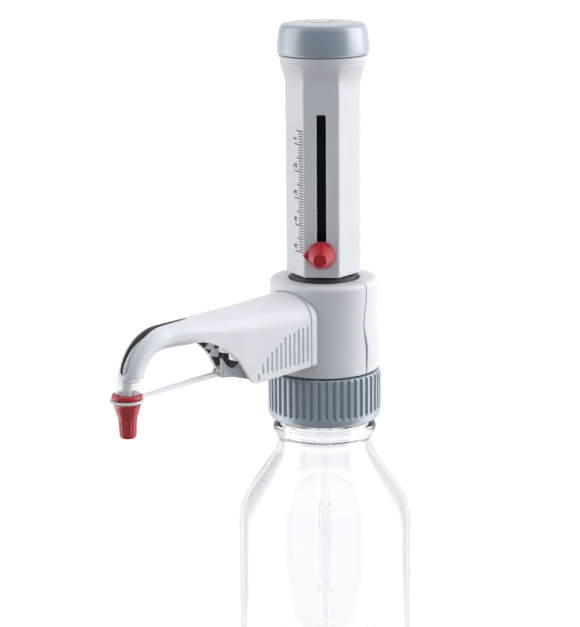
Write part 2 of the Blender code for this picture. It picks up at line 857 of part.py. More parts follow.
def top_cap():
    outer = [
        (21.3, CAP_Z),
        (22.05, CAP_Z + 1.2),
        (22.05, CAP_Z + 3.0),
        (21.8, CAP_Z + 6.6),
        (21.2, CAP_Z + 10.4),
        (20.6, CAP_Z + 12.6),
        (19.3, CAP_Z + 14.5),
        (17.0, CAP_Z + 15.2),
        (8.1, CAP_Z + 16.0),
    ]
    inner = [(8.1, CAP_Z + 13.6), (17.0, CAP_Z + 12.8), (18.8, CAP_Z + 10.0), (19.6, CAP_Z)]
    turned("top_cap", outer + inner, blue())


def calibration_cover():
    z = CAP_Z + 13.9
    cover = turned("calibration_cover", [(0, z), (7.8, z), (7.8, z + 2.0), (7.2, z + 2.3), (0, z + 2.3)], blue())
    key = rod("key_hole", (2.6, -2.6, z + 0.9), (2.6, -2.6, z + 5), 1.1, blue(), 12)
    cut(cover, key)


def calibration_screw():
    outline = [
        (2.4, 316.0),
        (5.0, 316.0),
        (5.0, 322.3),
        (8.6, 322.3),
        (8.6, 326.5),
        (2.4, 326.5),
    ]

    def flutes(k, i):
        return -0.8 if k in (3, 4) and i % 4 == 0 else 0.0

    turned("calibration_screw", outline, steel(), 24, ripple=flutes)


def piston_rod():
    outline = [(0, 222.6), (2.9, 222.6), (2.9, 315.0), (2.0, 315.6), (2.0, 329.0), (0, 329.0)]
    turned("piston_rod", outline, steel(), 20)


def piston():
    z = CYLINDER_Z + 0.6
    outline = [
        (0, z),
        (4.2, z),
        (4.85, z + 0.8),
        (4.85, z + 2.6),
        (4.4, z + 3.0),
        (4.4, z + 8.0),
        (4.85, z + 8.4),
        (4.85, z + 11.0),
        (0, z + 11.0),
    ]
    turned("piston", outline, fluoro(), 20)


# --- pointer -----------------------------------------------------------------------------


def volume_pointer():
    """A teardrop plate on the facet, its tip towards the scale, with a bore for the screw."""
    tip = 8.9
    z = POINTER_Z
    back, front = -(GRIP_HALF + GAP), -(GRIP_HALF + 2.6)
    open_angle = math.degrees(math.acos(POINTER_R / tip))
    rim = []
    for i in range(21):
        a = math.radians(180.0 - open_angle - i * (360.0 - 2.0 * open_angle) / 20.0)
        rim.append((POINTER_R * math.cos(a), POINTER_R * math.sin(a)))
    rim.append((-tip, 0.0))
    sections = []
    for y, scale in ((back, 1.0), (0.5 * (back + front), 1.0), (front, 0.86)):
        sections.append([(x * scale, y, z + h * scale) for x, h in rim])
    plate = lofted("volume_pointer", sections, red())
    bore = rod("screw_bore", (0, back + 2, z), (0, front - 2, z), 2.1, red(), 16)
    cut(plate, bore)
    for obj in (plate, bore):
        face_slot(obj)


def pointer_slider():
    """The clamp behind the slot: toothed nut with a nose that meets the sleeve's collar."""
    z = POINTER_Z
    nut = block("pointer_slider", (-5.2, -15.55, z - 4.0), (6.4, -14.0, z + 4.0), dark())
    join(nut, block("stop_nose", (4.1, -14.3, z - 1.5), (6.4, -10.95, z + 1.5), dark()))
    bore = rod("nut_bore", (0, -17, z), (0, -13, z), 2.1, dark(), 16)
    cut(nut, bore)
    for name in ("pointer_slider", "stop_nose", "nut_bore"):
        face_slot(bpy.data.objects[name])


def thumb_screw():
    """A conical knob on a short shank, turned about the facet's normal."""
    base = GRIP_HALF + 2.9
    outline = [
        (0, 14.2),
        (1.8, 14.2),
        (1.8, base),
        (6.2, base),
        (6.3, base + 1.0),
        (4.6, base + 5.0),
        (3.2, base + 9.2),
        (2.7, base + 10.4),
        (0, base + 10.6),
    ]

    def grips(k, i):
        return -0.25 if k in (4, 5) and i % 2 else 0.0

    knob = turned("thumb_screw", outline, red(), 32, ripple=grips)
    tilt = Matrix.Rotation(math.radians(90), 4, "X")
    knob.matrix_world = Matrix.Translation((0, 0, POINTER_Z * MM)) @ tilt
    face_slot(knob)


def main():
    for obj in list(bpy.data.objects):
        bpy.data.objects.remove(obj, do_unlink=True)
    reservoir_bottle()
    neck_gasket()
    screw_ring()
    retaining_plate()
    valve_block()
    block_front_shell()
    block_rear_cover()
    air_vent_plug()
    cylinder_nut()
    cylinder_seal()
    glass_cylinder()
    cylinder_sleeve()
    filling_valve_body()
    filling_valve_ball()
    filling_valve_cage()
    filling_tube_upper()
    filling_tube_lower()
    arm_housing()
    discharge_tube()
    nozzle_sleeve()
    discharge_valve_body()
    discharge_valve_ball()
    discharge_valve_spring()
    tube_nut()
    holder_clip()
    strap_pin()
    cap_strap()
    nozzle_cap()
    grip_housing()
    lower_guide()
    rod_carrier()
    rack_rail()
    top_cap()
    calibration_cover()
    calibration_screw()
    piston_rod()
    piston()
    volume_pointer()
    pointer_slider()
    thumb_screw()


main()
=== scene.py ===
"""Looks for the bottle-top dispenser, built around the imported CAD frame.

Lengths are in millimetres in the row frame and become metres where a mesh is made. Z is up
from the bottle's base, the discharge arm points along -X and the grip's slot faces the
azimuth GRIP_TURN. Heights written RIM + x are measured from the screw ring's top rim.
"""

import math

import bmesh
import bpy
from mathutils import Matrix, Quaternion, Vector


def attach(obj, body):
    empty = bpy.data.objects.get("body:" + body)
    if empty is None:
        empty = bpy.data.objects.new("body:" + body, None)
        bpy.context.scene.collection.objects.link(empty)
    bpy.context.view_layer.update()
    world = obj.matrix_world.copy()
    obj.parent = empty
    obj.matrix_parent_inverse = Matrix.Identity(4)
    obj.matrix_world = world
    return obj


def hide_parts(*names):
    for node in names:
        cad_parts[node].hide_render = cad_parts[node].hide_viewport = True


MM = 0.001
# Clearance between pieces that pass or face one another.
GAP = 0.3

BOTTLE_R = 43.0
BOTTLE_H = 176.0
WALL = 2.3
NECK_R = 20.6
NECK_BORE_R = 15.3
NECK_THREAD_R = 22.2
THREAD_PITCH = 4.0

RIM = 179.5
RING_R = 27.8
RING_BORE_R = 23.0
RING_THREAD_R = 21.4
RING_RIBS = 48
RIB_DEPTH = 1.25

BLOCK_R = 26.5
BLOCK_TOP = RIM + 45.4
BLOCK_WALL = 2.3
BLOCK_HOLE_R = 17.0
CORE_R = 20.5
OUTLET_Z = RIM + 24.0

# 5 ml in a bore of 10 mm.
STROKE = 5000.0 / (math.pi * 25.0)
CYLINDER_Z = 210.4
SLEEVE_R = 9.0
COLLAR_R = 11.3

GRIP_Z0 = RIM + 48.5
GRIP_Z1 = RIM + 152.9
GRIP_TURN = math.radians(219.4)
GRIP_HALF = 17.85
DIAGONAL_HALF = 17.22
DIAGONAL_TURN = 54.2
GRIP_WALL = 2.0
SLOT_HALF = 2.25
SLOT_Z0 = RIM + 56.2
SLOT_Z1 = RIM + 126.4
POINTER_Z = RIM + 59.6
POINTER_R = 6.8
CAP_Z = RIM + 153.2

ARM_ROOT = 22.2
NOZZLE_X = 128.6
ARM_BEND = 108.8
BEND_R = 17.6
ARM_AXIS_Z = RIM + 36.0
ARM_END_Z = RIM + 20.6
HINGE_X = 71.0
HINGE_Z = RIM + 11.3
STRAP_RING_Z = RIM + 10.5
CLIP_X = 62.0

# Azimuth that the tent's dim front faces, and the tent's brightness in each direction.
FRONT = 224.0
FRONT_LIGHT = (0.17, 0.21, 0.27)
SIDE_LIGHT = (4.1, 4.1, 4.1)
RIGHT_SHARE = 0.26
BACK_LIGHT = (1.0, 1.0, 1.0)
TOP_LIGHT = (0.85, 0.85, 0.85)

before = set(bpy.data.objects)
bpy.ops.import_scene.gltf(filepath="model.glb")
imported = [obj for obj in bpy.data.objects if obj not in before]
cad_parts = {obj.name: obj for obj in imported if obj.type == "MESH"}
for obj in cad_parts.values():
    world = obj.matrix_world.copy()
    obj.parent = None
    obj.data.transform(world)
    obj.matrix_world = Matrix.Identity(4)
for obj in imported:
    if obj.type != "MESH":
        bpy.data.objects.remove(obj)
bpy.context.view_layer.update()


# --- materials ---


def new_material(name):
    made = bpy.data.materials.new(name)
    made.use_nodes = True
    return made, made.node_tree, made.node_tree.nodes["Principled BSDF"]


def fill(tree, node, sockets):
    """Set a node's inputs; an output given as a value is linked."""
    for name, value in sockets.items():
        if isinstance(value, bpy.types.NodeSocket):
            tree.links.new(value, node.inputs[name])
        else:
            node.inputs[name].default_value = value
    return node


def new_node(tree, kind, sockets=None):
    return fill(tree, tree.nodes.new("ShaderNode" + kind), sockets or {})


def mixed(tree, share, first, second):
    """Colour mix; each colour is an (r, g, b) or another node's output."""
    mix = tree.nodes.new("ShaderNodeMix")
    mix.data_type = "RGBA"
    tree.links.new(share, mix.inputs[0])
    for index, colour in ((6, first), (7, second)):
        fill(tree, mix, {index: (*colour, 1.0) if isinstance(colour, (tuple, list)) else colour})
    return mix.outputs[2]


def noise(tree, scale, detail=3.0, stretch=None):
    """A noise texture on the object's own coordinates, scale in features per metre."""
    source = new_node(tree, "TexCoord").outputs["Object"]
    if stretch:
        source = new_node(tree, "Mapping", {"Vector": source, "Scale": stretch}).outputs["Vector"]
    sockets = {"Vector": source, "Scale": scale, "Detail": detail}
    return new_node(tree, "TexNoise", sockets).outputs["Fac"]


def spread(tree, source, low, high):
    """Map a noise value from its usual range to low..high."""
    sockets = {"Value": source, "From Min": 0.3, "From Max": 0.7, "To Min": low, "To Max": high}
    return new_node(tree, "MapRange", sockets).outputs["Result"]


def tinted(tree, shader, colour, change, scale):
    """Base colour that drifts by a small share of itself."""
    darker = [c * (1.0 - change) for c in colour]
    lighter = [min(1.0, c * (1.0 + change)) for c in colour]
    share = spread(tree, noise(tree, scale), 0.0, 1.0)
    fill(tree, shader, {"Base Color": mixed(tree, share, darker, lighter)})


def bumped(tree, shader, source, strength, distance):
    """Raise the surface where source is high, distance in millimetres."""
    sockets = {"Strength": strength, "Distance": distance * MM, "Height": source}
    fill(tree, shader, {"Normal": new_node(tree, "Bump", sockets).outputs["Normal"]})


def plastic(name, colour, roughness, grain=1400.0, bump=0.12, change=0.025, **sockets):
    """Moulded plastic: fine spark-eroded grain, slight clouding in colour and gloss."""
    made, tree, shader = new_material(name)
    tinted(tree, shader, colour, change, 55.0)
    rough = spread(tree, noise(tree, 320.0), roughness - 0.04, roughness + 0.04)
    bumped(tree, shader, noise(tree, grain, 2.0), bump, 0.03)
    fill(tree, shader, {"Roughness": rough})
    fill(tree, shader, {socket.replace("_", " "): value for socket, value in sockets.items()})
    return made


def see_through(name, colour, roughness, ior, transmission, bump=0.1):
    """Glass or clear plastic with a slow unevenness in its surface."""
    made, tree, shader = new_material(name)
    tinted(tree, shader, colour, 0.01, 30.0)
    rough = spread(tree, noise(tree, 90.0), max(0.0, roughness - 0.015), roughness + 0.015)
    fill(tree, shader, {"Roughness": rough, "IOR": ior, "Transmission Weight": transmission})
    bumped(tree, shader, noise(tree, 18.0, 1.0), bump, 0.05)
    return made


def glass_edges(made, centre, edge):
    """Paint shade into clear glass where its surface turns away from the view: darker towards its edges.
    """
    tree = made.node_tree
    facing = new_node(tree, "LayerWeight", {"Blend": 0.5}).outputs["Facing"]
    sockets = {"Value": facing, "From Min": 0.12, "From Max": 0.95}
    turned_away = new_node(tree, "MapRange", sockets).outputs["Result"]
    colour = mixed(tree, turned_away, centre, edge)
    fill(tree, tree.nodes["Principled BSDF"], {"Base Color": colour})


def brushed(name, colour, roughness):
    """Drawn or turned metal with fine marks round it."""
    made, tree, shader = new_material(name)
    tinted(tree, shader, colour, 0.05, 120.0)
    marks = noise(tree, 500.0, 2.0, (1.0, 1.0, 12.0))
    rough = spread(tree, marks, roughness - 0.08, roughness + 0.1)
    fill(tree, shader, {"Metallic": 1.0, "Roughness": rough})
    bumped(tree, shader, marks, 0.1, 0.01)
    return made


PALE = plastic("pale_grey_moulded", (0.655, 0.675, 0.705), 0.42, Specular_IOR_Level=0.4)
# Painted shade: a dark finish standing in for the shade inside the hood and clip, which are the same pale
# plastic.
PAINTED_SHADE = plastic("painted_shade_inside", (0.12, 0.125, 0.135), 0.7, Specular_IOR_Level=0.2)
POLISH = {"Specular_IOR_Level": 0.8, "Coat_Weight": 1.0, "Coat_Roughness": 0.3}
BLUE = plastic("blue_grey_moulded", (0.26, 0.315, 0.38), 0.34, bump=0.015, **POLISH)
DARK = plastic("dark_grey_moulded", (0.06, 0.064, 0.075), 0.6, Specular_IOR_Level=0.3)
BLACK = plastic("black_moulded", (0.012, 0.012, 0.014), 0.55, Specular_IOR_Level=0.2)
RED = plastic("red_moulded", (0.40, 0.016, 0.034), 0.34, bump=0.04)
GLOW_THROUGH = {"Transmission_Weight": 0.25, "IOR": 1.4}
CLEAR_RED = plastic("red_translucent", (0.46, 0.012, 0.03), 0.24, bump=0.02, **GLOW_THROUGH)
DENSE = {"Transmission_Weight": 0.1, "IOR": 1.35}
KNOB_RED = plastic("red_knob", (0.43, 0.012, 0.028), 0.3, bump=0.02, **DENSE)
PTFE = plastic("white_fluoropolymer", (0.82, 0.82, 0.80), 0.48, grain=600.0)
STRAP = plastic("strap_translucent", (0.83, 0.835, 0.84), 0.35, Transmission_Weight=0.3, IOR=1.3)
INK = plastic("scale_ink", (0.035, 0.04, 0.05), 0.5, grain=2500.0, change=0.08)
GLASS = see_through("borosilicate_glass", (0.985, 0.992, 0.99), 0.02, 1.47, 1.0)
TUBE = see_through("translucent_tube", (0.99, 0.996, 0.996), 0.06, 1.1, 1.0, bump=0.02)
NOZZLE = see_through("translucent_nozzle", (0.72, 0.77, 0.82), 0.3, 1.4, 0.3)
SKIRT = see_through("milky_skirt", (0.94, 0.955, 0.965), 0.05, 1.05, 0.8)
# Painted light: the hood's tabs are a lighter copy of the pale plastic with a faint glow, standing in for
# light on them.
PAINTED_GLOW = {"Emission_Color": (1.0, 1.0, 1.0, 1.0), "Emission_Strength": 0.16}
GLOWING_TAB = plastic("painted_glow_tab", (0.85, 0.87, 0.9), 0.45, **PAINTED_GLOW)
RUBY = see_through("ruby_ball", (0.6, 0.05, 0.1), 0.04, 1.76, 0.8)
METAL = brushed("drawn_metal", (0.68, 0.68, 0.66), 0.28)
# Painted shade: the glass darkens towards its edges as the view grazes it.
glass_edges(GLASS, (0.955, 0.962, 0.962), (0.5, 0.515, 0.525))


# --- mesh helpers ---


def make(name, points, faces, finish, place=None, crease=32.0):
    """A mesh object from millimetre points, its faces turned outward and smooth."""
    if place is not None:
        points = [place @ Vector(p) for p in points]
    mesh = bpy.data.meshes.new(name)
    mesh.from_pydata([[c * MM for c in p] for p in points], [], faces)
    work = bmesh.new()
    work.from_mesh(mesh)
    bmesh.ops.recalc_face_normals(work, faces=work.faces)
    work.to_mesh(mesh)
    work.free()
    mesh.shade_smooth()
    mesh.set_sharp_from_angle(angle=math.radians(crease))
    mesh.materials.append(finish)
    return linked(name, mesh)


def weld(mesh):
    """Join the separate front, side and back faces of a text's mesh."""
    work = bmesh.new()
    work.from_mesh(mesh)
    bmesh.ops.remove_doubles(work, verts=work.verts, dist=0.002 * MM)
    work.to_mesh(mesh)
    work.free()


def linked(name, data):
    """A new object in the scene that holds the given mesh, curve or camera."""
    made = bpy.data.objects.new(name, data)
    bpy.context.collection.objects.link(made)
    return made


def mount(obj, body, slot, *nodes):
    """Put a finished piece on its CAD body, in place of CAD nodes."""
    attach(obj, body)
    if nodes:
        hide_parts(*nodes)
    return obj


def combine(obj, tools, operation="DIFFERENCE", crease=32.0):
    """Boolean obj with each tool, whose finish goes onto the faces it leaves; drop the tools."""
    for tool in tools:
        change = obj.modifiers.new(tool.name, "BOOLEAN")
        change.object = tool
        change.operation = operation
        change.solver = "EXACT"
        change.material_mode = "TRANSFER"
    bpy.context.view_layer.update()
    done = obj.evaluated_get(bpy.context.evaluated_depsgraph_get())
    mesh = bpy.data.meshes.new_from_object(done)
    obj.modifiers.clear()
    obj.data = mesh
    for tool in tools:
        bpy.data.objects.remove(tool)
    mesh.shade_smooth()
    mesh.set_sharp_from_angle(angle=math.radians(crease))
    return obj


def even_shading(obj):
    """Weighted normals keep flat areas flat beside small rounded edges."""
    change = obj.modifiers.new("even_shading", "WEIGHTED_NORMAL")
    change.keep_sharp = True
    return obj


def soften(outline, steps=5):
    """Round the corners of a closed outline of (x, z, size); size 0 leaves a corner sharp."""
    points = []
    count = len(outline)
    for i, (x, z, size) in enumerate(outline):
        if size <= 0.0:
            points.append((x, z))
            continue
        here = Vector((x, z))
        before = Vector(outline[i - 1][:2]) - here
        after = Vector(outline[(i + 1) % count][:2]) - here
        first = here + before.normalized() * min(size, 0.49 * before.length)
        last = here + after.normalized() * min(size, 0.49 * after.length)
        for k in range(steps + 1):
            t = k / steps
            mid = (1 - t) ** 2 * first + 2 * t * (1 - t) * here + t * t * last
            points.append((mid.x, mid.y))
    return points


def turned(name, outline, finish, steps=128, ripple=None, place=None, crease=32.0):
    """Turn a closed (radius, height) outline about Z. ripple(r, z, angle) moves the radius."""
    points, rings = [], []
    for r, z in outline:
        if r < 1e-6:
            rings.append([len(points)] * steps)
            points.append((0.0, 0.0, z))
            continue
        rings.append(list(range(len(points), len(points) + steps)))
        for i in range(steps):
            a = 2.0 * math.pi * i / steps
            rr = r + (ripple(r, z, a) if ripple else 0.0)
            points.append((rr * math.cos(a), rr * math.sin(a), z))
    faces = []
    for ring, after in zip(rings, rings[1:] + rings[:1]):
        if ring[0] == ring[1] and after[0] == after[1]:
            continue
        for i in range(steps):
            j = (i + 1) % steps
            faces.append(list(dict.fromkeys([ring[i], ring[j], after[j], after[i]])))
    return make(name, points, faces, finish, place, crease)


def skin(rows):
    """Quads between neighbouring closed rows of point numbers."""
    faces = []
    for a, b in zip(rows, rows[1:]):
        for i in range(len(a)):
            j = (i + 1) % len(a)
            faces.append([a[i], a[j], b[j], b[i]])
    return faces


def lofted(name, sections, finish, inner=None, place=None, crease=32.0):
    """Skin over closed sections; with inner sections it is a wall between the two skins."""
    count = len(sections[0])
    points = [p for s in sections for p in s]
    rows = [[k * count + i for i in range(count)] for k in range(len(sections))]
    faces = skin(rows)
    if inner is None:
        faces += [rows[0], rows[-1]]
    else:
        start = len(points)
        points += [p for s in inner for p in s]
        inside = [[start + k * count + i for i in range(count)] for k in range(len(inner))]
        faces += skin(inside) + skin([rows[0], inside[0]]) + skin([rows[-1], inside[-1]])
    return make(name, points, faces, finish, place, crease)


def arc(cx, cz, radius, start, end, steps):
    points = []
    for i in range(steps + 1):
        a = math.radians(start + (end - start) * i / steps)
        points.append((cx + radius * math.cos(a), cz + radius * math.sin(a)))
    return points


def spaced(start, end, step):
    """Evenly spaced values from start to end, both included."""
    count = max(1, round(abs(end - start) / step))
    return [start + (end - start) * i / count for i in range(count + 1)]


def smoothly(knots, s):
    """Catmull-Rom value at s from (place, value) knots."""
    if s <= knots[0][0]:
        return knots[0][1]
    if s >= knots[-1][0]:
        return knots[-1][1]
    k = max(i for i in range(len(knots) - 1) if knots[i][0] <= s)
    (s1, v1), (s2, v2) = knots[k], knots[k + 1]

    def slope(i):
        """Slope at a knot from those beside it; an end knot has only one neighbour."""
        (before, low), (after, high) = knots[max(0, i - 1)], knots[min(len(knots) - 1, i + 1)]
        return (high - low) / (after - before)

    h = s2 - s1
    t = (s - s1) / h
    m1, m2 = slope(k) * h, slope(k + 1) * h
    a = (2 * t**3 - 3 * t**2 + 1) * v1 + (t**3 - 2 * t**2 + t) * m1
    return a + (-2 * t**3 + 3 * t**2) * v2 + (t**3 - t**2) * m2


def between(knots, s):
    """Straight-line value at s from (place, value) knots."""
    if s <= knots[0][0]:
        return knots[0][1]
    for (s0, v0), (s1, v1) in zip(knots, knots[1:]):
        if s <= s1:
            return v0 + (v1 - v0) * (s - s0) / (s1 - s0)
    return knots[-1][1]


def step_up(x, low, high):
    """Smooth step from 0 at low to 1 at high."""
    t = min(1.0, max(0.0, (x - low) / (high - low)))
    return t * t * (3.0 - 2.0 * t)


def lifted(height, outline):
    """Outline points (x, z, ...) whose heights are given above height."""
    return [(x, height + z, *rest) for x, z, *rest in outline]


def placed(x, y, z, degrees=0.0, axis="Z"):
    """Turn about an axis through the origin, then move there."""
    return Matrix.Translation((x, y, z)) @ Matrix.Rotation(math.radians(degrees), 4, axis)


def prism(name, base, low, high, finish):
    """An upright prism on a closed (x, y) outline."""
    return lofted(name, [[(x, y, z) for x, y in base] for z in (low, high)], finish)


def drill(radius, low, high, finish, steps, place=None):
    """A round cutter between two heights."""
    outline = [(0, low), (radius, low), (radius, high), (0, high)]
    return turned("drill", outline, finish, steps, None, place)


def piece(name, outline, finish, steps, body, slot, node, place=None, ripple=None, corner=3):
    """Turn a softened outline about Z and mount it on its body in place of its node; slot is not used."""
    made = turned(name, soften(outline, corner), finish, steps, ripple, place)
    mount(made, body, slot, node)


FACE = Matrix.Rotation(GRIP_TURN + math.radians(90.0), 4, "Z")
ALONG_ARM = placed(0, 0, OUTLET_Z, -90, "Y")
AT_NOZZLE = placed(-NOZZLE_X, 0, 0)
PIN_LINE = placed(-HINGE_X, 0, HINGE_Z, 90, "X")


# --- bottle ---


def shoulder(inset):
    """Shoulder line from the straight side to the neck, inset from the outer surface."""
    slope = 33.4
    lower_r, upper_r = 30.0, 8.6
    lower = arc(BOTTLE_R - lower_r, 100.0, lower_r - inset, 0.0, slope, 14)
    upper = arc(31.9, 141.2, upper_r + inset, 180.0 + slope, 180.0, 8)
    return lower + upper


def ridge_height(z, angle, start, turns, half, rise):
    """Height of a trapezoid thread ridge at a height and an angle."""
    along = angle / (2.0 * math.pi)
    best = 0.0
    for k in range(int(turns) + 2):
        turn = k + along
        if turn > turns:
            break
        off = abs(z - (start + THREAD_PITCH * turn))
        fade = min(1.0, 5.0 * turn, 5.0 * (turns - turn))
        best = max(best, fade * (1.0 - step_up(off, 0.4 * half, half)))
    return rise * best


def build_bottle():
    """Round glass bottle with a pouring bead below its threaded neck."""
    outside = [(0.0, 1.6), (24.0, 1.2), (31.0, 0.5), (34.5, 0.05)]
    outside += arc(BOTTLE_R - 7.0, 7.0, 7.0, -90.0, 0.0, 12)
    outside += [(BOTTLE_R, z) for z in spaced(14.0, 94.0, 8.0)]
    outside += shoulder(0.0)
    bead = [(23.3, 144.6, 0), (24.3, 146.6, 1.0), (25.4, 148.2, 1.2), (25.4, 150.6, 1.2)]
    outside += soften(bead + [(24.0, 151.7, 0.6), (NECK_R + 0.3, 152.0, 0)], 4)
    outside += [(NECK_R, z) for z in spaced(152.6, BOTTLE_H - 2.0, 0.25)]
    outside += arc(NECK_R - 1.2, BOTTLE_H - 1.2, 1.2, 0.0, 90.0, 5)
    inside = arc(NECK_BORE_R + 1.2, BOTTLE_H - 1.2, 1.2, 90.0, 180.0, 5)
    inside += [(NECK_BORE_R, z) for z in spaced(170.0, 158.0, 4.0)]
    inside += [(15.9, 155.2), (17.4, 152.6), (19.3, 150.2), (20.5, 147.6), (20.9, 145.0)]
    inside += list(reversed(shoulder(WALL)))
    inside += [(BOTTLE_R - WALL, z) for z in spaced(92.0, 14.0, 8.0)]
    inside += arc(BOTTLE_R - WALL - 5.6, 9.6, 5.6, 0.0, -90.0, 8) + [(24.0, 4.6), (0.0, 5.4)]

    def thread(r, z, angle):
        if r < NECK_R - 0.01 or z < 152.4:
            return 0.0
        return ridge_height(z, angle, 160.0, 2.5, 1.5, NECK_THREAD_R - NECK_R)

    bottle = turned("glass_bottle", outside + inside, GLASS, 160, thread, crease=60)
    mount(bottle, "bottle", "clear_glass", "reservoir_bottle")


def build_gasket():
    z = BOTTLE_H + GAP
    ring = [(15.6, z, 0.3), (20.3, z, 0.3), (20.3, z + 1.0, 0.3), (15.6, z + 1.0, 0.3)]
    piece("neck_seal_ring", ring, PTFE, 96, "neck_seal", "fluoropolymer", "neck_gasket")


def build_ring():
    """Ribbed screw ring with a smooth band below the ribs and a thread inside."""
    outer = lifted(RIM, [(19.5, 0, 0), (27.0, 0, 0.8), (RING_R, -1.6, 0.8)])
    outer += [(RING_R, z, 0) for z in spaced(RIM - 2.4, RIM - 20.4, 0.5)]
    outer += lifted(RIM, [(RING_R, -22.7, 0.9), (26.9, -23.8, 0.8), (24.4, -24.2, 0.5)])
    inner = [(RING_BORE_R, RIM - 24.2, 0.4)]
    inner += [(RING_BORE_R, z, 0) for z in spaced(RIM - 23.2, RIM - 8.0, 0.3)]
    collar = [(RING_BORE_R, -0.6, 0), (17.3, -0.6, 0.3), (17.3, 2.1, 0.4), (19.5, 2.1, 0.4)]
    inner += lifted(RIM, collar)

    def shape(r, z, angle):
        if r > 24.0:
            turn = (angle * RING_RIBS / (2.0 * math.pi)) % 1.0
            edge = abs(2.0 * turn - 1.0)
            ends = step_up(RIM - z, 0.2, 1.4) * (1.0 - step_up(RIM - z, 19.0, 19.9))
            return -RIB_DEPTH * ends * step_up(edge, 0.3, 0.92) * step_up(r, 25.0, 26.8)
        if r > RING_BORE_R - 0.01 and z < RIM - 5.0:
            return -ridge_height(z, angle, 158.0, 3.0, 1.4, RING_BORE_R - RING_THREAD_R)
        return 0.0

    ring = turned("ribbed_screw_ring", soften(outer + inner, 4), BLUE, 12 * RING_RIBS, shape)
    mount(ring, "screw_ring", "blue_plastic", "screw_ring")


# --- valve block ---


def wall_outline(bulge):
    """Closed wall section of the block as (r, z); bulge swells its lower part."""
    points = []
    for z in spaced(RIM + 1.0, BLOCK_TOP - 3.0, 1.4):
        rise = (z - RIM - 1.0) / 24.0
        swell = bulge * math.sin(math.pi * min(1.0, rise))
        points.append((BLOCK_R + swell, z))
    points += arc(BLOCK_R - 2.6, BLOCK_TOP - 2.6, 2.6, 10.0, 90.0, 8)
    points += [(22.0, BLOCK_TOP), (BLOCK_HOLE_R + 0.5, BLOCK_TOP), (BLOCK_HOLE_R, BLOCK_TOP - 0.5)]
    inner, under = BLOCK_R - BLOCK_WALL, BLOCK_TOP - BLOCK_WALL
    points += [(BLOCK_HOLE_R, under), (inner - 2.0, under), (inner, under - 2.0)]
    return points + [(inner, RIM + 1.0)]


def inward(outline, amount):
    """Offset a closed outline to its inside by amount."""
    count = len(outline)
    area = sum(a[0] * b[1] - b[0] * a[1] for a, b in zip(outline, outline[1:] + outline[:1]))
    sign = 1.0 if area > 0.0 else -1.0
    offset = []
    for i, (x, z) in enumerate(outline):
        a, b = Vector(outline[i - 1]), Vector(outline[(i + 1) % count])
        ahead = (b - a).normalized()
        offset.append((x - sign * ahead.y * amount, z + sign * ahead.x * amount))
    return offset


def seam(z):
    """Sideways bow of the seam between the block's two shells, round the valve."""
    off = abs(z - RIM - 26.0) / 14.0
    return -1.9 * (1.0 - step_up(off, 0.0, 1.0))


def half_shell(name, bulge, side, edge_x):
    """The wall on one side of the seam plane (side -1 front, 1 rear), its seam edges rounded."""
    base = wall_outline(bulge)
    soft = 0.45
    quarter = [math.radians(18.0 * k) for k in range(6)]
    edge = [(soft * (1.0 - math.cos(a)), soft * (1.0 - math.sin(a))) for a in quarter]
    columns = [(0.0, distance, inset) for distance, inset in edge]
    columns += [(i / 110.0, soft, 0.0) for i in range(1, 110)]
    columns += [(1.0, distance, inset) for distance, inset in reversed(edge)]
    sections = []
    for share, distance, inset in columns:
        ring = []
        for r, z in inward(base, inset) if inset > 0.0 else base:
            reach = math.acos((edge_x + side * distance + seam(z)) / r)
            low, high = (reach, 2.0 * math.pi - reach) if side < 0 else (-reach, reach)
            a = low + (high - low) * share
            ring.append((r * math.cos(a), r * math.sin(a), z))
        sections.append(ring)
    return lofted(name, sections, PALE, crease=40)


def bar(name, low, high, size, finish):
    """A box between two corners whose upright edges are rounded."""
    (x0, y0, z0), (x1, y1, z1) = low, high
    base = soften([(x0, y0, size), (x1, y0, size), (x1, y1, size), (x0, y1, size)], 3)
    return prism(name, base, z0, z1, finish)


def build_block():
    """Front shell with the arm's seat cut out, and rear cover with the air vent's mouth."""
    front = half_shell("valve_block_front", 0.0, -1, 1.2)
    root = [arm_section(s, 0.3) for s in (ARM_ROOT - GAP, ARM_ROOT + 15.0)]
    outlet = drill(9.2, 14, 40, PALE, 64, ALONG_ARM)
    combine(front, [lofted("flange_seat", root, PALE), outlet], crease=40)
    mount(even_shading(front), "valve_block", "pale_plastic", "block_front_shell")
    rear = half_shell("valve_block_rear_cover", 0.7, 1, 1.5)
    mouth = bar("vent_mouth", (18, -3.5, RIM), (40, 3.5, RIM + 3.2), 0.0, PALE)
    combine(rear, [mouth], crease=40)
    mount(even_shading(rear), "valve_block", "pale_plastic", "block_rear_cover")


def build_collar():
    """The dark nut that the grip slides over."""
    bore = SLEEVE_R + GAP
    outline = [(bore, 212.3, 0.2), (16.4, 212.3, 0.3), (16.4, RIM + 46.2, 1.0)]
    outline += [(15.4, RIM + 47.5, 0.8), (12.4, RIM + 47.5, 0.2)]
    outline += [(12.0, RIM + 46.9, 0.2), (bore, RIM + 46.9, 0.2)]
    own = ("valve_block", "dark_plastic", "cylinder_nut")
    piece("cylinder_collar", outline, DARK, 160, *own, corner=4)


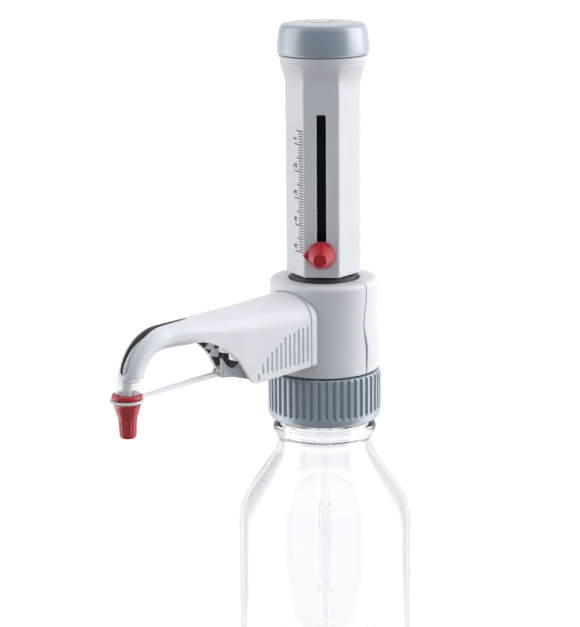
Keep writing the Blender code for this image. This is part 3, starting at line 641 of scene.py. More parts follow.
def build_core():
    """Turned parts inside the block, round the cylinder and down into the bottle."""
    block = "valve_block"
    z = RIM - 1.9
    plate = [(7.6, z, 0.2), (21.0, z, 0.3), (21.0, z + 1.0, 0.3), (7.6, z + 1.0, 0.2)]
    piece("ring_retainer", plate, PALE, 96, block, "pale_plastic", "retaining_plate")
    core = [(7.3, RIM - 0.6, 0.2), (17.0, RIM - 0.6, 0.3), (17.0, RIM + 2.5, 0.3)]
    core += [(CORE_R, RIM + 2.5, 0.5), (CORE_R, 212.0, 0.6), (7.2, 212.0, 0.2), (7.2, 209.0, 0.2)]
    core += [(4.2, 209.0, 0.3), (4.2, 197.8, 0.3), (7.3, 197.8, 0.2)]
    core = turned("valve_core", soften(core, 3), PALE, 96)
    port = drill(2.0, 3, 24, PALE, 32, ALONG_ARM)
    socket = drill(6.8, 17.5, 24, PALE, 48, ALONG_ARM)
    combine(core, [port, socket])
    mount(core, block, "pale_plastic", "valve_block")
    seal = [(4.6, 209.3, 0.2), (6.9, 209.3, 0.2), (6.9, 210.1, 0.2), (4.6, 210.1, 0.2)]
    piece("cylinder_face_seal", seal, PTFE, 72, block, "fluoropolymer", "cylinder_seal")
    top = CYLINDER_Z + STROKE + 19.0
    wall = [(5.0, CYLINDER_Z, 0.2), (6.9, CYLINDER_Z, 0.4), (6.9, top, 0.4), (5.0, top, 0.3)]
    piece("piston_cylinder", wall, GLASS, 96, block, "clear_glass", "glass_cylinder")
    top = POINTER_Z + STROKE + 1.8
    wall = [(7.2, 212.3, 0.2), (SLEEVE_R, 212.3, 0.3), (SLEEVE_R, top, 0.4)]
    wall += [(COLLAR_R, top, 0.3), (COLLAR_R, top + 2.8, 0.5), (7.2, top + 2.8, 0.3)]
    piece("cylinder_guard", wall, TUBE, 96, block, "clear_plastic", "cylinder_sleeve")
    plug = [(0, 1.0, 0), (3.4, 1.0, 0.2), (3.4, 2.0, 0.3), (2.6, 2.6, 0.2), (2.6, 3.3, 0.4), (0, 3.3, 0)]
    place = placed(CORE_R - 0.6, 0, RIM + 12, 90, "Y")
    piece("vent_plug", plug, DARK, 48, block, "dark_plastic", "air_vent_plug", place)


def build_filling_side():
    """Suction valve and its tubes, down into the bottle."""
    body = [(1.8, 157.5, 0.2), (2.75, 157.5, 0.3), (2.75, 166.0, 0.4), (7.0, 167.0, 0.6)]
    body += [(7.0, 192.5, 0.4), (4.0, 192.5, 0.2), (4.0, 186.0, 0.4), (1.8, 183.6, 0.3)]

    def flats(r, z, angle):
        """Six flats for a spanner round the lower part of the body."""
        if r < 6.0 or z > 173.5:
            return 0.0
        turn = (angle * 6.0 / (2.0 * math.pi)) % 1.0 - 0.5
        flat = 6.2 / math.cos(turn * math.pi / 3.0)
        return min(0.0, flat - r) * (1.0 - step_up(z, 172.5, 173.5))

    block = "valve_block"
    body[4:4] = [(7.0, z, 0) for z in (168.2, 170.0, 172.4, 173.0, 173.6)]
    own = (block, "fluoropolymer", "filling_valve_body")
    piece("filling_valve", body, PTFE, 96, *own, ripple=flats)
    ball = turned("filling_ball", arc(0, 0, 2.9, -90, 90, 24), RUBY, 48, None, placed(0, 0, 188.1))
    mount(ball, "filling_ball", "ruby", "filling_valve_ball")
    cage = [(1.2, 0.4, 0.2), (3.2, 0, 0.2), (7.0, 0, 0.3), (7.0, 4.4, 0.3), (1.2, 4.4, 0.2)]
    cage = lifted(192.8, cage)
    piece("filling_cage", cage, PTFE, 72, block, "fluoropolymer", "filling_valve_cage")
    wall = [(2.95, 62.0, 0.15), (3.65, 62.0, 0.25), (3.65, 165.6, 0.25), (2.95, 165.6, 0.15)]
    piece("suction_tube_upper", wall, TUBE, 64, block, "clear_plastic", "filling_tube_upper")
    wall = [(1.9, 9.0, 0.1), (2.7, 9.0, 0.1), (2.7, 108.0, 0.2), (1.9, 108.0, 0.1)]
    lower = turned("suction_tube_lower", soften(wall, 3), TUBE, 64)
    foot = lofted("foot", [[(-4, y, 5), (4, y, 5), (4, y, 13)] for y in (-4, 4)], TUBE)
    combine(lower, [foot])
    mount(lower, "lower_tube", "clear_plastic", "filling_tube_lower")


# --- discharge arm ---


def arm_half_width(s):
    knots = [(ARM_ROOT, 16.0), (26.0, 16.0), (59.0, 12.6), (94.0, 8.6), (107.0, 6.6), (140.0, 5.7)]
    return between(knots, s)


def arm_top(s):
    return between([(ARM_ROOT, RIM + 42.3), (60.0, RIM + 41.5), (ARM_BEND, ARM_AXIS_Z + 5.2)], s)


def arm_floor(s):
    knots = [(ARM_ROOT, RIM + 8.5), (60.0, RIM + 5.9), (80.0, RIM + 20.0), (97.0, ARM_AXIS_Z - 4.8)]
    return between(knots, s)


def arch(half, low, high, corner, grow=0.0):
    """An arch seen along the arm, as (y, z): flat bottom, upright sides, rounded top."""
    steps = 40
    half, low, high = half + grow, low - grow, high + grow
    rise = min(corner, high - low)
    spring = high - rise
    side = [low + (spring - low) * t for t in (0.0, 0.15, 0.3, 0.45, 0.6, 0.75, 0.9)]
    points = [(-half, z) for z in side]
    for i in range(steps + 1):
        a = math.pi * (1.0 - i / steps)
        points.append((half * math.cos(a), spring + rise * math.sin(a)))
    points += [(half, z) for z in reversed(side)]
    points += [(half * t, low) for t in (0.75, 0.5, 0.25, 0.0, -0.25, -0.5, -0.75)]
    return points


def arm_section(s, grow=0.0):
    corner = between([(ARM_ROOT, 12.0), (60.0, 11.0), (97.0, 5.4)], s)
    section = arch(arm_half_width(s), arm_floor(s), arm_top(s), corner, grow)
    return [(-s, y, z) for y, z in section]


def bend_point(angle, out, y):
    """A point by the bend: angle from the top of the bend, out from its centre line."""
    a = math.radians(angle)
    radius = BEND_R + out
    return (-(ARM_BEND + radius * math.sin(a)), y, ARM_AXIS_Z - BEND_R + radius * math.cos(a))


def tube_point(angle):
    """The tube's centre line in the bend: near the slot, then over the nozzle's axis."""
    drift = NOZZLE_X - ARM_BEND - BEND_R
    a = math.radians(angle)
    return bend_point(angle, drift * math.sin(a) ** 2 + 0.4 * math.sin(2.0 * a), 0.0)


def bend_section(angle):
    """Section of the bend, narrower towards the inside of the curve."""
    half = between([(0.0, 6.65), (70.0, 5.9)], angle)
    low = -4.8 + 0.9 * math.sin(math.radians(angle))
    points = []
    for y, z in arch(half, low, 5.2, 5.2):
        if z < -1.0:
            tuck = step_up(-z, 1.0, 5.3)
            y *= 1.0 - 0.34 * tuck * tuck
        points.append(bend_point(angle, z, y))
    return points


def hood_edge(s):
    """Height above RIM of the hood's arched lower edge."""
    knots = [(61.4, 6.7), (63.2, 9.4), (64.8, 12.2), (66.6, 15.0), (69.1, 18.5), (74.7, 23.6)]
    knots += [(81.3, 28.0), (88.4, 30.8), (93.0, 31.4), (97.0, 31.4)]
    return smoothly(knots, s)


def tube_rings(path, radius, steps):
    """Rings square to a path that lies in the plane of the arm; radius may be a list."""
    rings = []
    for k, point in enumerate(path):
        ahead = (Vector(path[min(len(path) - 1, k + 1)]) - Vector(path[max(0, k - 1)])).normalized()
        side = Vector((0, 1, 0))
        up = ahead.cross(side)
        reach = radius[k] if isinstance(radius, list) else radius
        ring = []
        for i in range(steps):
            a = 2.0 * math.pi * i / steps
            offset = side * reach * math.cos(a) + up * reach * math.sin(a)
            ring.append(tuple(Vector(point) + offset))
        rings.append(ring)
    return rings


def capsule(name, x, y, low, high, radius):
    """An upright round-ended cutter."""
    outline = [(0.0, low - radius)] + arc(0, low, radius, -72, 0, 4)
    outline += arc(0, high, radius, 0, 72, 4) + [(0.0, high + radius)]
    return turned(name, outline, PALE, 16, None, placed(x, y, 0))


def arm_body():
    sections = []
    for s in spaced(ARM_ROOT, 25.4, 1.0):
        sections.append(arm_section(s))
    for s, sunk in ((25.55, -0.15), (25.7, -0.5), (26.2, -0.5), (26.35, -0.15)):
        sections.append(arm_section(s, sunk))
    for s in spaced(26.5, ARM_BEND - 1.5, 1.6):
        tuck = 0.34 * step_up(s, 88.0, ARM_BEND)
        ring = []
        for x, y, z in arm_section(s):
            depth = step_up(ARM_AXIS_Z - z, 1.0, 5.3)
            ring.append((x, y * (1.0 - tuck * depth * depth), z))
        sections.append(ring)
    for angle in spaced(0.0, 89.0, 2.5):
        sections.append(bend_section(angle))
    return lofted("discharge_arm", sections, PALE)


SLOT_WIDTHS = [(0.0, 1.5), (20.0, 1.9), (40.0, 2.2), (74.0, 2.2)]
FLAT_END = [(-140.0, -14.0), (-118.0, -14.0), (-118.0, 14.0), (-140.0, 14.0)]


def slot_corners(half):
    """The slot's section, set a little towards the operator's side."""
    near, far = -1.2 * half, 0.8 * half
    return ((near, 0.0), (far, 0.0), (far, 9.0), (near, 9.0))


def build_arm():
    """Hood and bend, with the hollow, the open underside, the tube's slot and finger grooves."""
    arm = arm_body()
    hollow = []
    for s in (ARM_ROOT - 2.0, 40.0, 60.0, 75.0, 88.0):
        corner = between([(ARM_ROOT, 10.5), (60.0, 9.5), (88.0, 5.0)], s)
        inside = arch(arm_half_width(s) - 2.0, RIM - 4.0, arm_top(s) - 2.0, corner)
        hollow.append([(-s, y, z) for y, z in inside])
    # Painted shade: the hollow, the tube's channel and its slot leave the dark finish on the faces they
    # cut.
    hollow = lofted("hood_hollow", hollow, PAINTED_SHADE)
    profile = [(59.6, -10.0), (59.6, 4.0), (60.2, 5.2)]
    profile += [(s, hood_edge(s)) for s in spaced(61.4, 97.0, 1.2)] + [(97.0, -10.0)]
    side = [[(-s, y, RIM + z) for s, z in profile] for y in (-30.0, 30.0)]
    opening = lofted("hood_cut_out", side, PALE)
    end = prism("flat_end", FLAT_END, RIM, ARM_END_Z, PALE)
    path = [(-85.0, 0.0, ARM_AXIS_Z)] + [tube_point(a) for a in spaced(0.0, 88.0, 4.0)]
    path.append((-NOZZLE_X, 0.0, ARM_END_Z - 4.0))
    channel = lofted("tube_channel", tube_rings(path, 2.7, 24), PAINTED_SHADE)
    slot = []
    start = ((91.0, 0.15), (92.5, 0.5), (95.0, 0.8), (98.0, 1.0), (103.0, 1.2), (ARM_BEND - 1.5, 1.35))
    for s, half in start:
        slot.append([(-s, y, ARM_AXIS_Z + h) for y, h in slot_corners(half)])
    ends = [(75.5, 2.0), (77.5, 1.5), (78.7, 0.9), (79.2, 0.3)]
    for angle, half in [(a, smoothly(SLOT_WIDTHS, a)) for a in spaced(0.0, 74.0, 3.0)] + ends:
        slot.append([bend_point(angle, h, y) for y, h in slot_corners(half)])
    slot = lofted("tube_slot", slot, PAINTED_SHADE)
    tops = (28.3, 28.1, 27.9, 26.7, 26.4, 25.5, 23.2, 21.6, 19.7, 17.4, 14.7, 10.8)
    grooves = []
    for k, top in enumerate(tops):
        s = 28.8 + 2.72 * k
        low = 10.5 - 0.12 * k if k < len(tops) - 1 else 6.9
        for y in (-1.0, 1.0):
            out = y * (arm_half_width(s) + 0.45)
            grooves.append(capsule("finger_groove", -s, out, RIM + low + 1, RIM + top - 1, 1.0))
    combine(arm, [hollow, opening, end, channel, slot] + grooves)
    mount(even_shading(arm), "valve_block", "pale_plastic", "arm_housing")


def build_hood_steps():
    """Stepped snap tabs with slanted ends on the insides of the hood's flanks."""
    far_high = [(72.4, 21.6), (70.0, 23.6), (65.8, 23.4), (66.6, 19.9)]
    far_low = [(69.7, 17.4), (66.6, 20.2), (62.6, 20.0), (63.4, 15.8)]
    near_high = [(78.6, 24.2), (78.6, 28.0), (73.2, 27.0), (73.2, 22.6)]
    near_low = [(72.9, 19.5), (72.9, 25.0), (67.7, 24.0), (67.7, 17.9)]
    tabs = {"hood_tab_far_high": (far_high, 1.0), "hood_tab_far_low": (far_low, 1.0)}
    tabs.update({"hood_tab_near_high": (near_high, -1.0), "hood_tab_near_low": (near_low, -1.0)})
    for name, (corners, side) in tabs.items():
        base = soften([(s, z, 0.25) for s, z in corners], 3)
        sections = []
        for depth in (0.4, -1.1):
            sections.append([(-s, side * (arm_half_width(s) - 2.0 + depth), RIM + z) for s, z in base])
        # The tabs carry the painted glow.
        mount(lofted(name, sections, GLOWING_TAB), "valve_block", "pale_plastic")


def discharge_path():
    path = [(-42.0, 0.0, OUTLET_Z), (-47.0, 0.0, OUTLET_Z), (-52.0, 0.0, OUTLET_Z)]
    for i in range(1, 20):
        t = i / 20.0
        rise = (ARM_AXIS_Z - OUTLET_Z) * (3.0 * t * t - 2.0 * t**3)
        path.append((-(52.0 + 34.0 * t), 0.0, OUTLET_Z + rise))
    path += [(-s, 0.0, ARM_AXIS_Z) for s in spaced(86.0, ARM_BEND - 1.0, 4.0)]
    path += [tube_point(a) for a in spaced(0.0, 90.0, 3.0)]
    return path + [(-NOZZLE_X, 0.0, RIM + z) for z in (12.0, 7.0, 3.35, 3.0)]


def build_discharge():
    """Delivery tube, the skirt round its end, and the valve and nut at its root."""
    path = discharge_path()
    outer = [2.2] * (len(path) - 1) + [2.0]
    tube = lofted("delivery_tube", tube_rings(path, outer, 28), NOZZLE, tube_rings(path, 1.2, 28))
    mount(tube, "valve_block", "clear_plastic", "discharge_tube")
    top = ARM_END_Z - 0.05
    skirt = [(0, top, 0), (6.2, top, 0.7), (6.2, top - 6.6, 0.4), (5.1, top - 6.6, 0.2)]
    skirt += [(5.1, top - 1.5, 0.5), (0, top - 1.5, 0)]
    skirt = turned("nozzle_skirt", soften(skirt, 4), SKIRT, 96, None, placed(1.2 - NOZZLE_X, 0, 0))
    combine(skirt, [drill(2.6, top - 3, top + 1, SKIRT, 40, AT_NOZZLE)])
    mount(skirt, "valve_block", "pale_plastic", "nozzle_sleeve")
    body = [(1.5, 17.9, 0.2), (6.5, 17.9, 0.4), (6.5, 25.0, 0.2), (8.4, 25.0, 0.5), (8.4, 28.0, 0.5)]
    body += [(6.5, 28.0, 0.2), (6.5, 40.7, 0.4), (2.6, 40.7, 0.2), (2.6, 36.5, 0.1)]
    body += [(3.5, 36.5, 0.1), (3.5, 24.5, 0.1), (1.5, 23.2, 0.1)]
    own = ("valve_block", "pale_plastic", "discharge_valve_body")
    piece("discharge_valve", body, PALE, 72, *own, ALONG_ARM)
    place = placed(-25.8, 0, OUTLET_Z)
    ball = turned("discharge_ball", arc(0, 0, 2.7, -90, 90, 24), RUBY, 48, None, place)
    mount(ball, "discharge_ball", "ruby", "discharge_valve_ball")
    nut = [(2.5, 41.0, 0.2), (7.6, 41.0, 0.4)] + [(7.6, z, 0) for z in spaced(42.0, 48.4, 0.8)]
    nut += [(7.6, 49.0, 0.5), (6.2, 50.5, 0.3), (2.5, 50.5, 0.2)]

    def knurl(r, z, angle):
        return -0.5 * max(0.0, math.cos(24.0 * angle)) ** 2 * step_up(r, 7.0, 7.6)

    own = ("valve_block", "dark_plastic", "tube_nut")
    piece("tube_clamp_nut", nut, DARK, 288, *own, ALONG_ARM, knurl)


def clip_body():
    """Scoop that closes the hood: narrow at the strap's pin, with its near side standing higher."""
    widths = [(-11.2, 2.9), (-10.5, 3.8), (-9.0, 4.1), (-5.0, 5.3), (-1.0, 6.8)]
    widths += [(3.0, 8.0), (5.4, 8.2), (6.2, 7.4)]
    foot = [(-11.2, 9.9), (-8.0, 9.6), (-5.0, 9.3), (6.2, 5.8)]
    near = [(-11.2, 19.4), (-10.4, 18.5), (-9.0, 16.2), (-7.0, 14.5), (-5.6, 13.9), (-4.0, 14.1)]
    near += [(-2.0, 15.5), (0.0, 16.5), (2.0, 17.0), (6.2, 17.2)]
    far = [(-11.2, 12.8), (-9.0, 13.0), (-5.6, 13.2), (-2.0, 12.5), (2.0, 10.8), (6.2, 10.4)]
    sections = []
    for x in spaced(-11.2, 6.2, 0.6):
        half, low = smoothly(widths, x), smoothly(foot, x)
        across = [half * t for t in (-0.9, -0.7, -0.45, -0.2, 0.0, 0.2, 0.45, 0.7, 0.9)]
        ring = [(y, low) for y in across] + [(half, low + 0.4)]
        for y in [half] + list(reversed(across)) + [-half]:
            share = step_up(y, -2.4, 0.5)
            top = (1.0 - share) * smoothly(near, x) + share * smoothly(far, x)
            ring.append((y, top - (0.3 if abs(y) == half else 0.0)))
        ring.append((-half, low + 0.4))
        sections.append([(x - CLIP_X, y, RIM + z) for y, z in ring])
    return lofted("strap_clip", sections, PALE, crease=40)


def clip_cutter(name, plan, low, high, finish):
    """An upright cutter through the clip; plan is centred on it, heights are above RIM."""
    base = [(x - CLIP_X, y) for x, y in soften(plan, 5)]
    return prism(name, base, RIM + low, RIM + high, finish)


def build_clip():
    """Clip under the hood with its pocket, the gap for the strap, a dimple and two posts."""
    clip = clip_body()
    side = [(-5.6, 4.0, 1.5), (-1.0, 5.8, 1.0), (4.8, 7.1, 1.5)]
    plan = [(x, -y, size) for x, y, size in side] + [(x, y, size) for x, y, size in reversed(side)]
    # Painted shade: the pocket and the scoop leave the dark finish on the faces they cut.
    pocket = clip_cutter("pocket", plan, -1.0, 22.0, PAINTED_SHADE)
    plan = [(-10.8, -2.0, 0), (-10.8, -2.45, 0), (-9.0, -3.3, 1.0), (-4.9, -4.4, 0), (-4.9, -2.0, 0)]
    scoop = clip_cutter("scoop", plan, 13.1, 22.5, PAINTED_SHADE)
    plan = [(-13.0, -2.3, 0), (-4.1, -2.3, 0), (-4.1, 2.3, 0), (-13.0, 2.3, 0)]
    gap = clip_cutter("strap_gap", plan, -2.0, 21.0, PALE)
    turn = placed(-CLIP_X - 3.2, 0, RIM + 11.2, 62.0) @ placed(0, 0, 0, -90, "Y")
    dimple = drill(0.65, 5.0, 12, PALE, 24, turn)
    bore = drill(1.2, -3.4, 3.4, PALE, 32, PIN_LINE)
    combine(clip, [pocket, scoop, gap, dimple, bore], crease=40)
    mount(clip, "valve_block", "pale_plastic", "holder_clip")
    # Painted shade: the two posts get the dark finish.
    for name, side in (("clip_post_near", -1.0), ("clip_post_far", 1.0)):
        near, far = sorted((side * 4.8, side * 6.2))
        low, high = (-CLIP_X - 2.0, near, RIM + 11.0), (-CLIP_X + 2.0, far, RIM + 35.6)
        mount(bar(name, low, high, 0.4, PAINTED_SHADE), "valve_block", "pale_plastic")
    pin = [(0, -3.3, 0), (0.9, -3.3, 0.2), (0.9, 3.3, 0.2), (0, 3.3, 0)]
    own = ("valve_block", "spring_metal", "strap_pin")
    piece("strap_hinge_pin", pin, METAL, 32, *own, PIN_LINE)


def build_strap():
    """Ring round the cap's neck, a tapering band and the eye on the hinge pin."""
    ring = [(6.45, -0.55, 0.2), (7.8, -0.55, 0.35), (7.8, 0.55, 0.35), (6.45, 0.55, 0.2)]
    ring = soften(lifted(STRAP_RING_Z, ring), 3)
    strap = turned("captive_strap", ring, STRAP, 96, None, AT_NOZZLE)
    drop = [(HINGE_X, 0.0), (86.0, -0.1), (98.0, -0.4), (NOZZLE_X - 7.2, -0.8)]
    thick = [(HINGE_X, 0.9), (98.0, 0.85), (112.0, 0.7), (NOZZLE_X - 7.2, 0.5)]
    band = []
    for s in spaced(HINGE_X, NOZZLE_X - 7.2, 2.4):
        mid, half = HINGE_Z + smoothly(drop, s), smoothly(thick, s)
        corners = [(-1.7, -half, 0.35), (1.7, -half, 0.35), (1.7, half, 0.35), (-1.7, half, 0.35)]
        band.append([(-s, y, mid + h) for y, h in soften(corners, 3)])
    eye = [(0, -1.9, 0), (2.0, -1.9, 0.3), (2.0, 1.9, 0.3), (0, 1.9, 0)]
    eye = turned("strap_eye", soften(eye, 3), STRAP, 48, None, PIN_LINE)
    combine(strap, [lofted("strap_band", band, STRAP), eye], "UNION")
    combine(strap, [drill(1.2, -4, 4, STRAP, 32, PIN_LINE)])
    mount(strap, "cap_strap", "strap_plastic", "cap_strap")


def build_nozzle_cap():
    """Dark cap with a groove for the strap's ring and a fluted foot."""
    outline = [(0.0, -6.9, 0), (3.5, -6.9, 1.2), (3.85, -5.4, 0.9), (3.95, -3.0, 0)]
    outline += [(4.1, -0.9, 1.0), (4.3, 2.2, 1.0), (5.4, 5.8, 1.4), (6.2, 8.6, 0.8)]
    outline += [(6.85, 9.4, 0.4), (6.15, 9.8, 0.2), (6.15, 11.2, 0.2), (6.9, 11.6, 0.5)]
    outline += [(6.9, 13.1, 0.8), (6.2, 13.6, 0.5), (4.6, 13.6, 0.6), (3.3, 7.0, 0.4)]
    outline += [(2.9, -3.0, 0.5), (0.0, -4.5, 0)]

    def flutes(r, z, angle):
        low = step_up(z, RIM - 6.4, RIM - 5.0) * (1.0 - step_up(z, RIM + 1.5, RIM + 3.0))
        return -0.16 * low * step_up(r, 3.4, 3.9) * max(0.0, math.cos(14.0 * angle))

    own = ("nozzle_cap", "red_plastic", "nozzle_cap")
    piece("nozzle_screw_cap", lifted(RIM, outline), RED, 168, *own, AT_NOZZLE, flutes, 6)


# --- grip ---


def facet_reach(angle):
    """Distance from the axis to the grip's eight-sided outline with rounded corners."""
    sharpness = 78.0
    facets = [(k * 90.0, GRIP_HALF) for k in range(4)]
    facets += [(DIAGONAL_TURN, DIAGONAL_HALF), (-DIAGONAL_TURN, DIAGONAL_HALF)]
    facets += [(180.0 - DIAGONAL_TURN, DIAGONAL_HALF), (180.0 + DIAGONAL_TURN, DIAGONAL_HALF)]
    total = 0.0
    for turn, half in facets:
        along = math.cos(angle - math.radians(turn))
        if along > 0.05:
            total += (along / half) ** sharpness
    return total ** (-1.0 / sharpness)


REACH = [facet_reach(2.0 * math.pi * i / 360) for i in range(360)]


def grip_loop(apothem, roundness, z, inset=0.0):
    """360 points round the grip; angle 0 is the slot's facet, which lies towards -Y."""
    loop = []
    for i, reach in enumerate(REACH):
        a = math.radians(i)
        r = reach * apothem / GRIP_HALF
        r = r + roundness * (apothem - r) - inset
        loop.append((r * math.sin(a), -r * math.cos(a), z))
    return loop


def grip_levels(inset):
    """Loops from the grip's foot to its round top; inset 0 gives the outside with its groove."""
    apothem = [(GRIP_Z0, GRIP_HALF), (RIM + 136.5, GRIP_HALF), (RIM + 141.5, 18.1)]
    apothem += [(RIM + 144.7, 19.07), (RIM + 148.5, 20.4), (GRIP_Z1, 21.25)]
    roundness = [(RIM + 134.0, 0.0), (RIM + 138.0, 0.03), (RIM + 141.5, 0.25), (RIM + 144.7, 0.55)]
    roundness += [(RIM + 148.5, 0.85), (GRIP_Z1, 1.0)]
    levels = [(GRIP_Z0, 0.55), (GRIP_Z0 + 0.1, 0.28), (GRIP_Z0 + 0.3, 0.1), (GRIP_Z0 + 0.6, 0.0)]
    levels += [(z, 0.0) for z in spaced(GRIP_Z0 + 1.2, RIM + 132.0, 6.0)]
    levels += [(z, 0.0) for z in spaced(RIM + 133.0, GRIP_Z1 - 3.7, 0.9)]
    levels += [(GRIP_Z1 - 3.3, 0.04), (GRIP_Z1 - 3.1, 0.22), (GRIP_Z1 - 2.8, 0.22)]
    levels += [(GRIP_Z1 - 2.6, 0.04), (GRIP_Z1 - 2.2, 0.0), (GRIP_Z1 - 0.5, 0.0)]
    levels += [(GRIP_Z1 - 0.15, 0.12), (GRIP_Z1, 0.4)]
    if inset > 0.0:
        levels = [(z, 0.0) for z in [GRIP_Z0] + spaced(RIM + 133.0, GRIP_Z1, 1.8)]
    loops = []
    for z, sunk in levels:
        round_share = max(0.0, smoothly(roundness, z))
        loops.append(grip_loop(smoothly(apothem, z), round_share, z, inset + sunk))
    return loops


def build_grip():
    """Eight-sided sleeve with its bevelled slot."""
    grip = lofted("grip_sleeve", grip_levels(0.0), PALE, grip_levels(GRIP_WALL), FACE)
    slot = []
    bevel = 0.45
    for depth, more in ((-2.0, bevel), (0.0, bevel), (bevel, 0.0), (4.0, 0.0)):
        y = -GRIP_HALF + depth
        half = SLOT_HALF + more
        low, high = SLOT_Z0 - more, SLOT_Z1 + more
        corners = [(-half, low, 0.9), (half, low, 0.9), (half, high, 0.9), (-half, high, 0.9)]
        slot.append([(x, y, z) for x, z in soften(corners, 5)])
    combine(grip, [lofted("slot", slot, PALE, None, FACE)])
    mount(even_shading(grip), "grip", "pale_plastic", "grip_housing")


def grip_plate(name, node, bore, z0, z1):
    """A plate inside the grip: the housing's outline outside and a round bore."""
    edge = ((z0, 0.3), (z0 + 0.3, 0.0), (z1 - 0.3, 0.0), (z1, 0.3))
    outer = [grip_loop(GRIP_HALF, 0.0, z, GRIP_WALL + GAP + sunk) for z, sunk in edge]
    inner = []
    for z, _ in edge:
        angles = [math.radians(i) for i in range(360)]
        inner.append([(bore * math.sin(a), -bore * math.cos(a), z) for a in angles])
    mount(lofted(name, outer, DARK, inner, FACE), "grip", "dark_plastic", node)


def build_rack():
    """Toothed rail behind the slot."""
    root, crest, back = -13.2, -13.6, -11.8
    tooth = ((root, 0.3), (crest, 0.5), (crest, 0.8))
    z0, z1 = GRIP_Z0 + 6.5, 317.6
    count = 62
    pitch = (z1 - z0) / count
    outline = []
    for i in range(count):
        z = z0 + i * pitch
        outline += [(root, z)] + [(y, z + share * pitch) for y, share in tooth]
    outline += [(root, z1), (back, z1), (back, z0)]
    sections = [[(x, y, z) for y, z in outline] for x in (-3.4, 3.4)]
    rail = lofted("toothed_rail", sections, BLACK, None, FACE, 25.0)
    mount(rail, "grip", "dark_plastic", "rack_rail")


def build_top():
    """Cap over the grip's flared top, with the calibration disc nearly flush in it."""
    cap = [(21.0, 0, 0.3), (21.75, 0.5, 0.6), (22.05, 1.6, 0.8), (22.05, 3.2, 1.2)]
    cap += [(21.8, 6.6, 2.5), (21.25, 10.2, 2.5), (20.6, 13.0, 0.9), (19.4, 14.4, 0.6)]
    cap += [(16.0, 14.95, 1.0), (8.5, 15.4, 0.3), (8.1, 15.1, 0.3), (8.1, 13.6, 0.2)]
    cap += [(17.0, 12.8, 1.0), (18.8, 10.0, 1.0), (19.6, 0, 0.3)]
    own = ("grip", "blue_plastic", "top_cap")
    piece("top_cover", lifted(CAP_Z, cap), BLUE, 180, *own, corner=5)
    z = CAP_Z + 13.9
    disc = [(0, z, 0), (7.8, z, 0.2), (7.8, z + 1.5, 0.2), (7.5, z + 1.6, 0.2), (0, z + 1.65, 0)]
    disc = turned("calibration_disc", soften(disc, 4), BLUE, 96)
    combine(disc, [drill(1.1, z + 0.9, z + 5, BLUE, 32, placed(2.6, -2.6, 0))])
    mount(disc, "grip", "blue_plastic", "calibration_cover")


def build_piston():
    """Fluted adjusting screw, the rod below it and the piston with two sealing lips."""
    screw = [(2.4, 316.0, 0.2), (5.0, 316.0, 0.3), (5.0, 322.3, 0.2), (8.6, 322.3, 0.4)]
    screw += [(8.6, z, 0) for z in spaced(323.0, 325.6, 0.65)] + [(8.6, 326.5, 0.5), (2.4, 326.5, 0.2)]

    def flutes(r, z, angle):
        return -0.8 * max(0.0, math.cos(6.0 * angle)) ** 6 * step_up(r, 7.5, 8.6)

    own = ("calibration", "spring_metal", "calibration_screw")
    piece("adjusting_screw", screw, METAL, 144, *own, ripple=flutes)
    rod = [(0, 222.6, 0), (2.9, 222.6, 0.4), (2.9, 315.0, 0.4)]
    rod += [(2.0, 315.6, 0.2), (2.0, 329.0, 0.4), (0, 329.0, 0)]
    piece("piston_shaft", rod, METAL, 64, "piston", "spring_metal", "piston_rod", corner=4)
    plug = [(0, 0, 0), (4.2, 0, 0.3), (4.85, 0.8, 0.3), (4.85, 2.6, 0.3), (4.4, 3.0, 0.2)]
    plug += [(4.4, 8.0, 0.2), (4.85, 8.4, 0.3), (4.85, 11.0, 0.3), (0, 11.0, 0)]
    plug = lifted(CYLINDER_Z + 0.6, plug)
    piece("piston_seal", plug, PTFE, 72, "piston", "fluoropolymer", "piston")


# --- scale and pointer ---


def facet_frame():
    """Axes on the facet that carries the scale: X up the grip, Y away from the slot, Z out."""
    edge = Vector((-8.35, -17.85, 0.0))
    along = (Vector((-17.85, -4.7, 0.0)) - edge).normalized()
    up = Vector((0.0, 0.0, 1.0))
    out = up.cross(along)
    place = Matrix((up, along, out)).transposed().to_4x4()
    place.translation = edge
    return FACE @ place


def build_scale():
    """Ticks every tenth of a millilitre from 0.5 to 5, and numerals at the whole ones."""
    low, high = 0.012, 0.05
    start = 0.55
    whole_end, half_end, tenth_end = 7.9, 5.9, 4.3
    per_ml = 12.91
    lowest = RIM + 60.5
    points, faces = [], []
    for k in range(46):
        tenths = 50 - k
        z = lowest + 0.1 * per_ml * k
        end = whole_end if tenths % 10 == 0 else (half_end if tenths % 5 == 0 else tenth_end)
        half = 0.31 if tenths % 5 == 0 else 0.27
        base = len(points)
        for h in (low, high):
            points += [(z - half, start, h), (z + half, start, h), (z + half, end, h), (z - half, end, h)]
        faces += [[base + 3, base + 2, base + 1, base], [base + 4, base + 5, base + 6, base + 7]]
        for i in range(4):
            j = (i + 1) % 4
            faces.append([base + i, base + j, base + 4 + j, base + 4 + i])
    place = facet_frame()
    mount(make("scale_ticks", points, faces, INK, place), "grip", "dark_plastic")
    for number in range(1, 6):
        text = bpy.data.curves.new(f"scale_numeral_{number}", "FONT")
        text.body = str(number)
        text.size = 3.7
        text.offset = 0.11
        text.extrude = 0.5 * (high - low)
        text.resolution_u = 6
        source = linked("numeral_curve", text)
        bpy.context.view_layer.update()
        done = source.evaluated_get(bpy.context.evaluated_depsgraph_get())
        mesh = bpy.data.meshes.new_from_object(done)
        bpy.data.objects.remove(source)
        at = Vector((lowest + per_ml * (5 - number) + 1.2, 6.1, 0.5 * (high + low)))
        shift = place @ Matrix.Translation(at) @ Matrix.Diagonal((1.45, 1.0, 1.0, 1.0))
        mesh.transform(Matrix.Scale(MM, 4) @ shift)
        weld(mesh)
        mesh.materials.clear()
        mesh.materials.append(INK)
        mount(linked(f"scale_numeral_{number}", mesh), "grip", "dark_plastic")


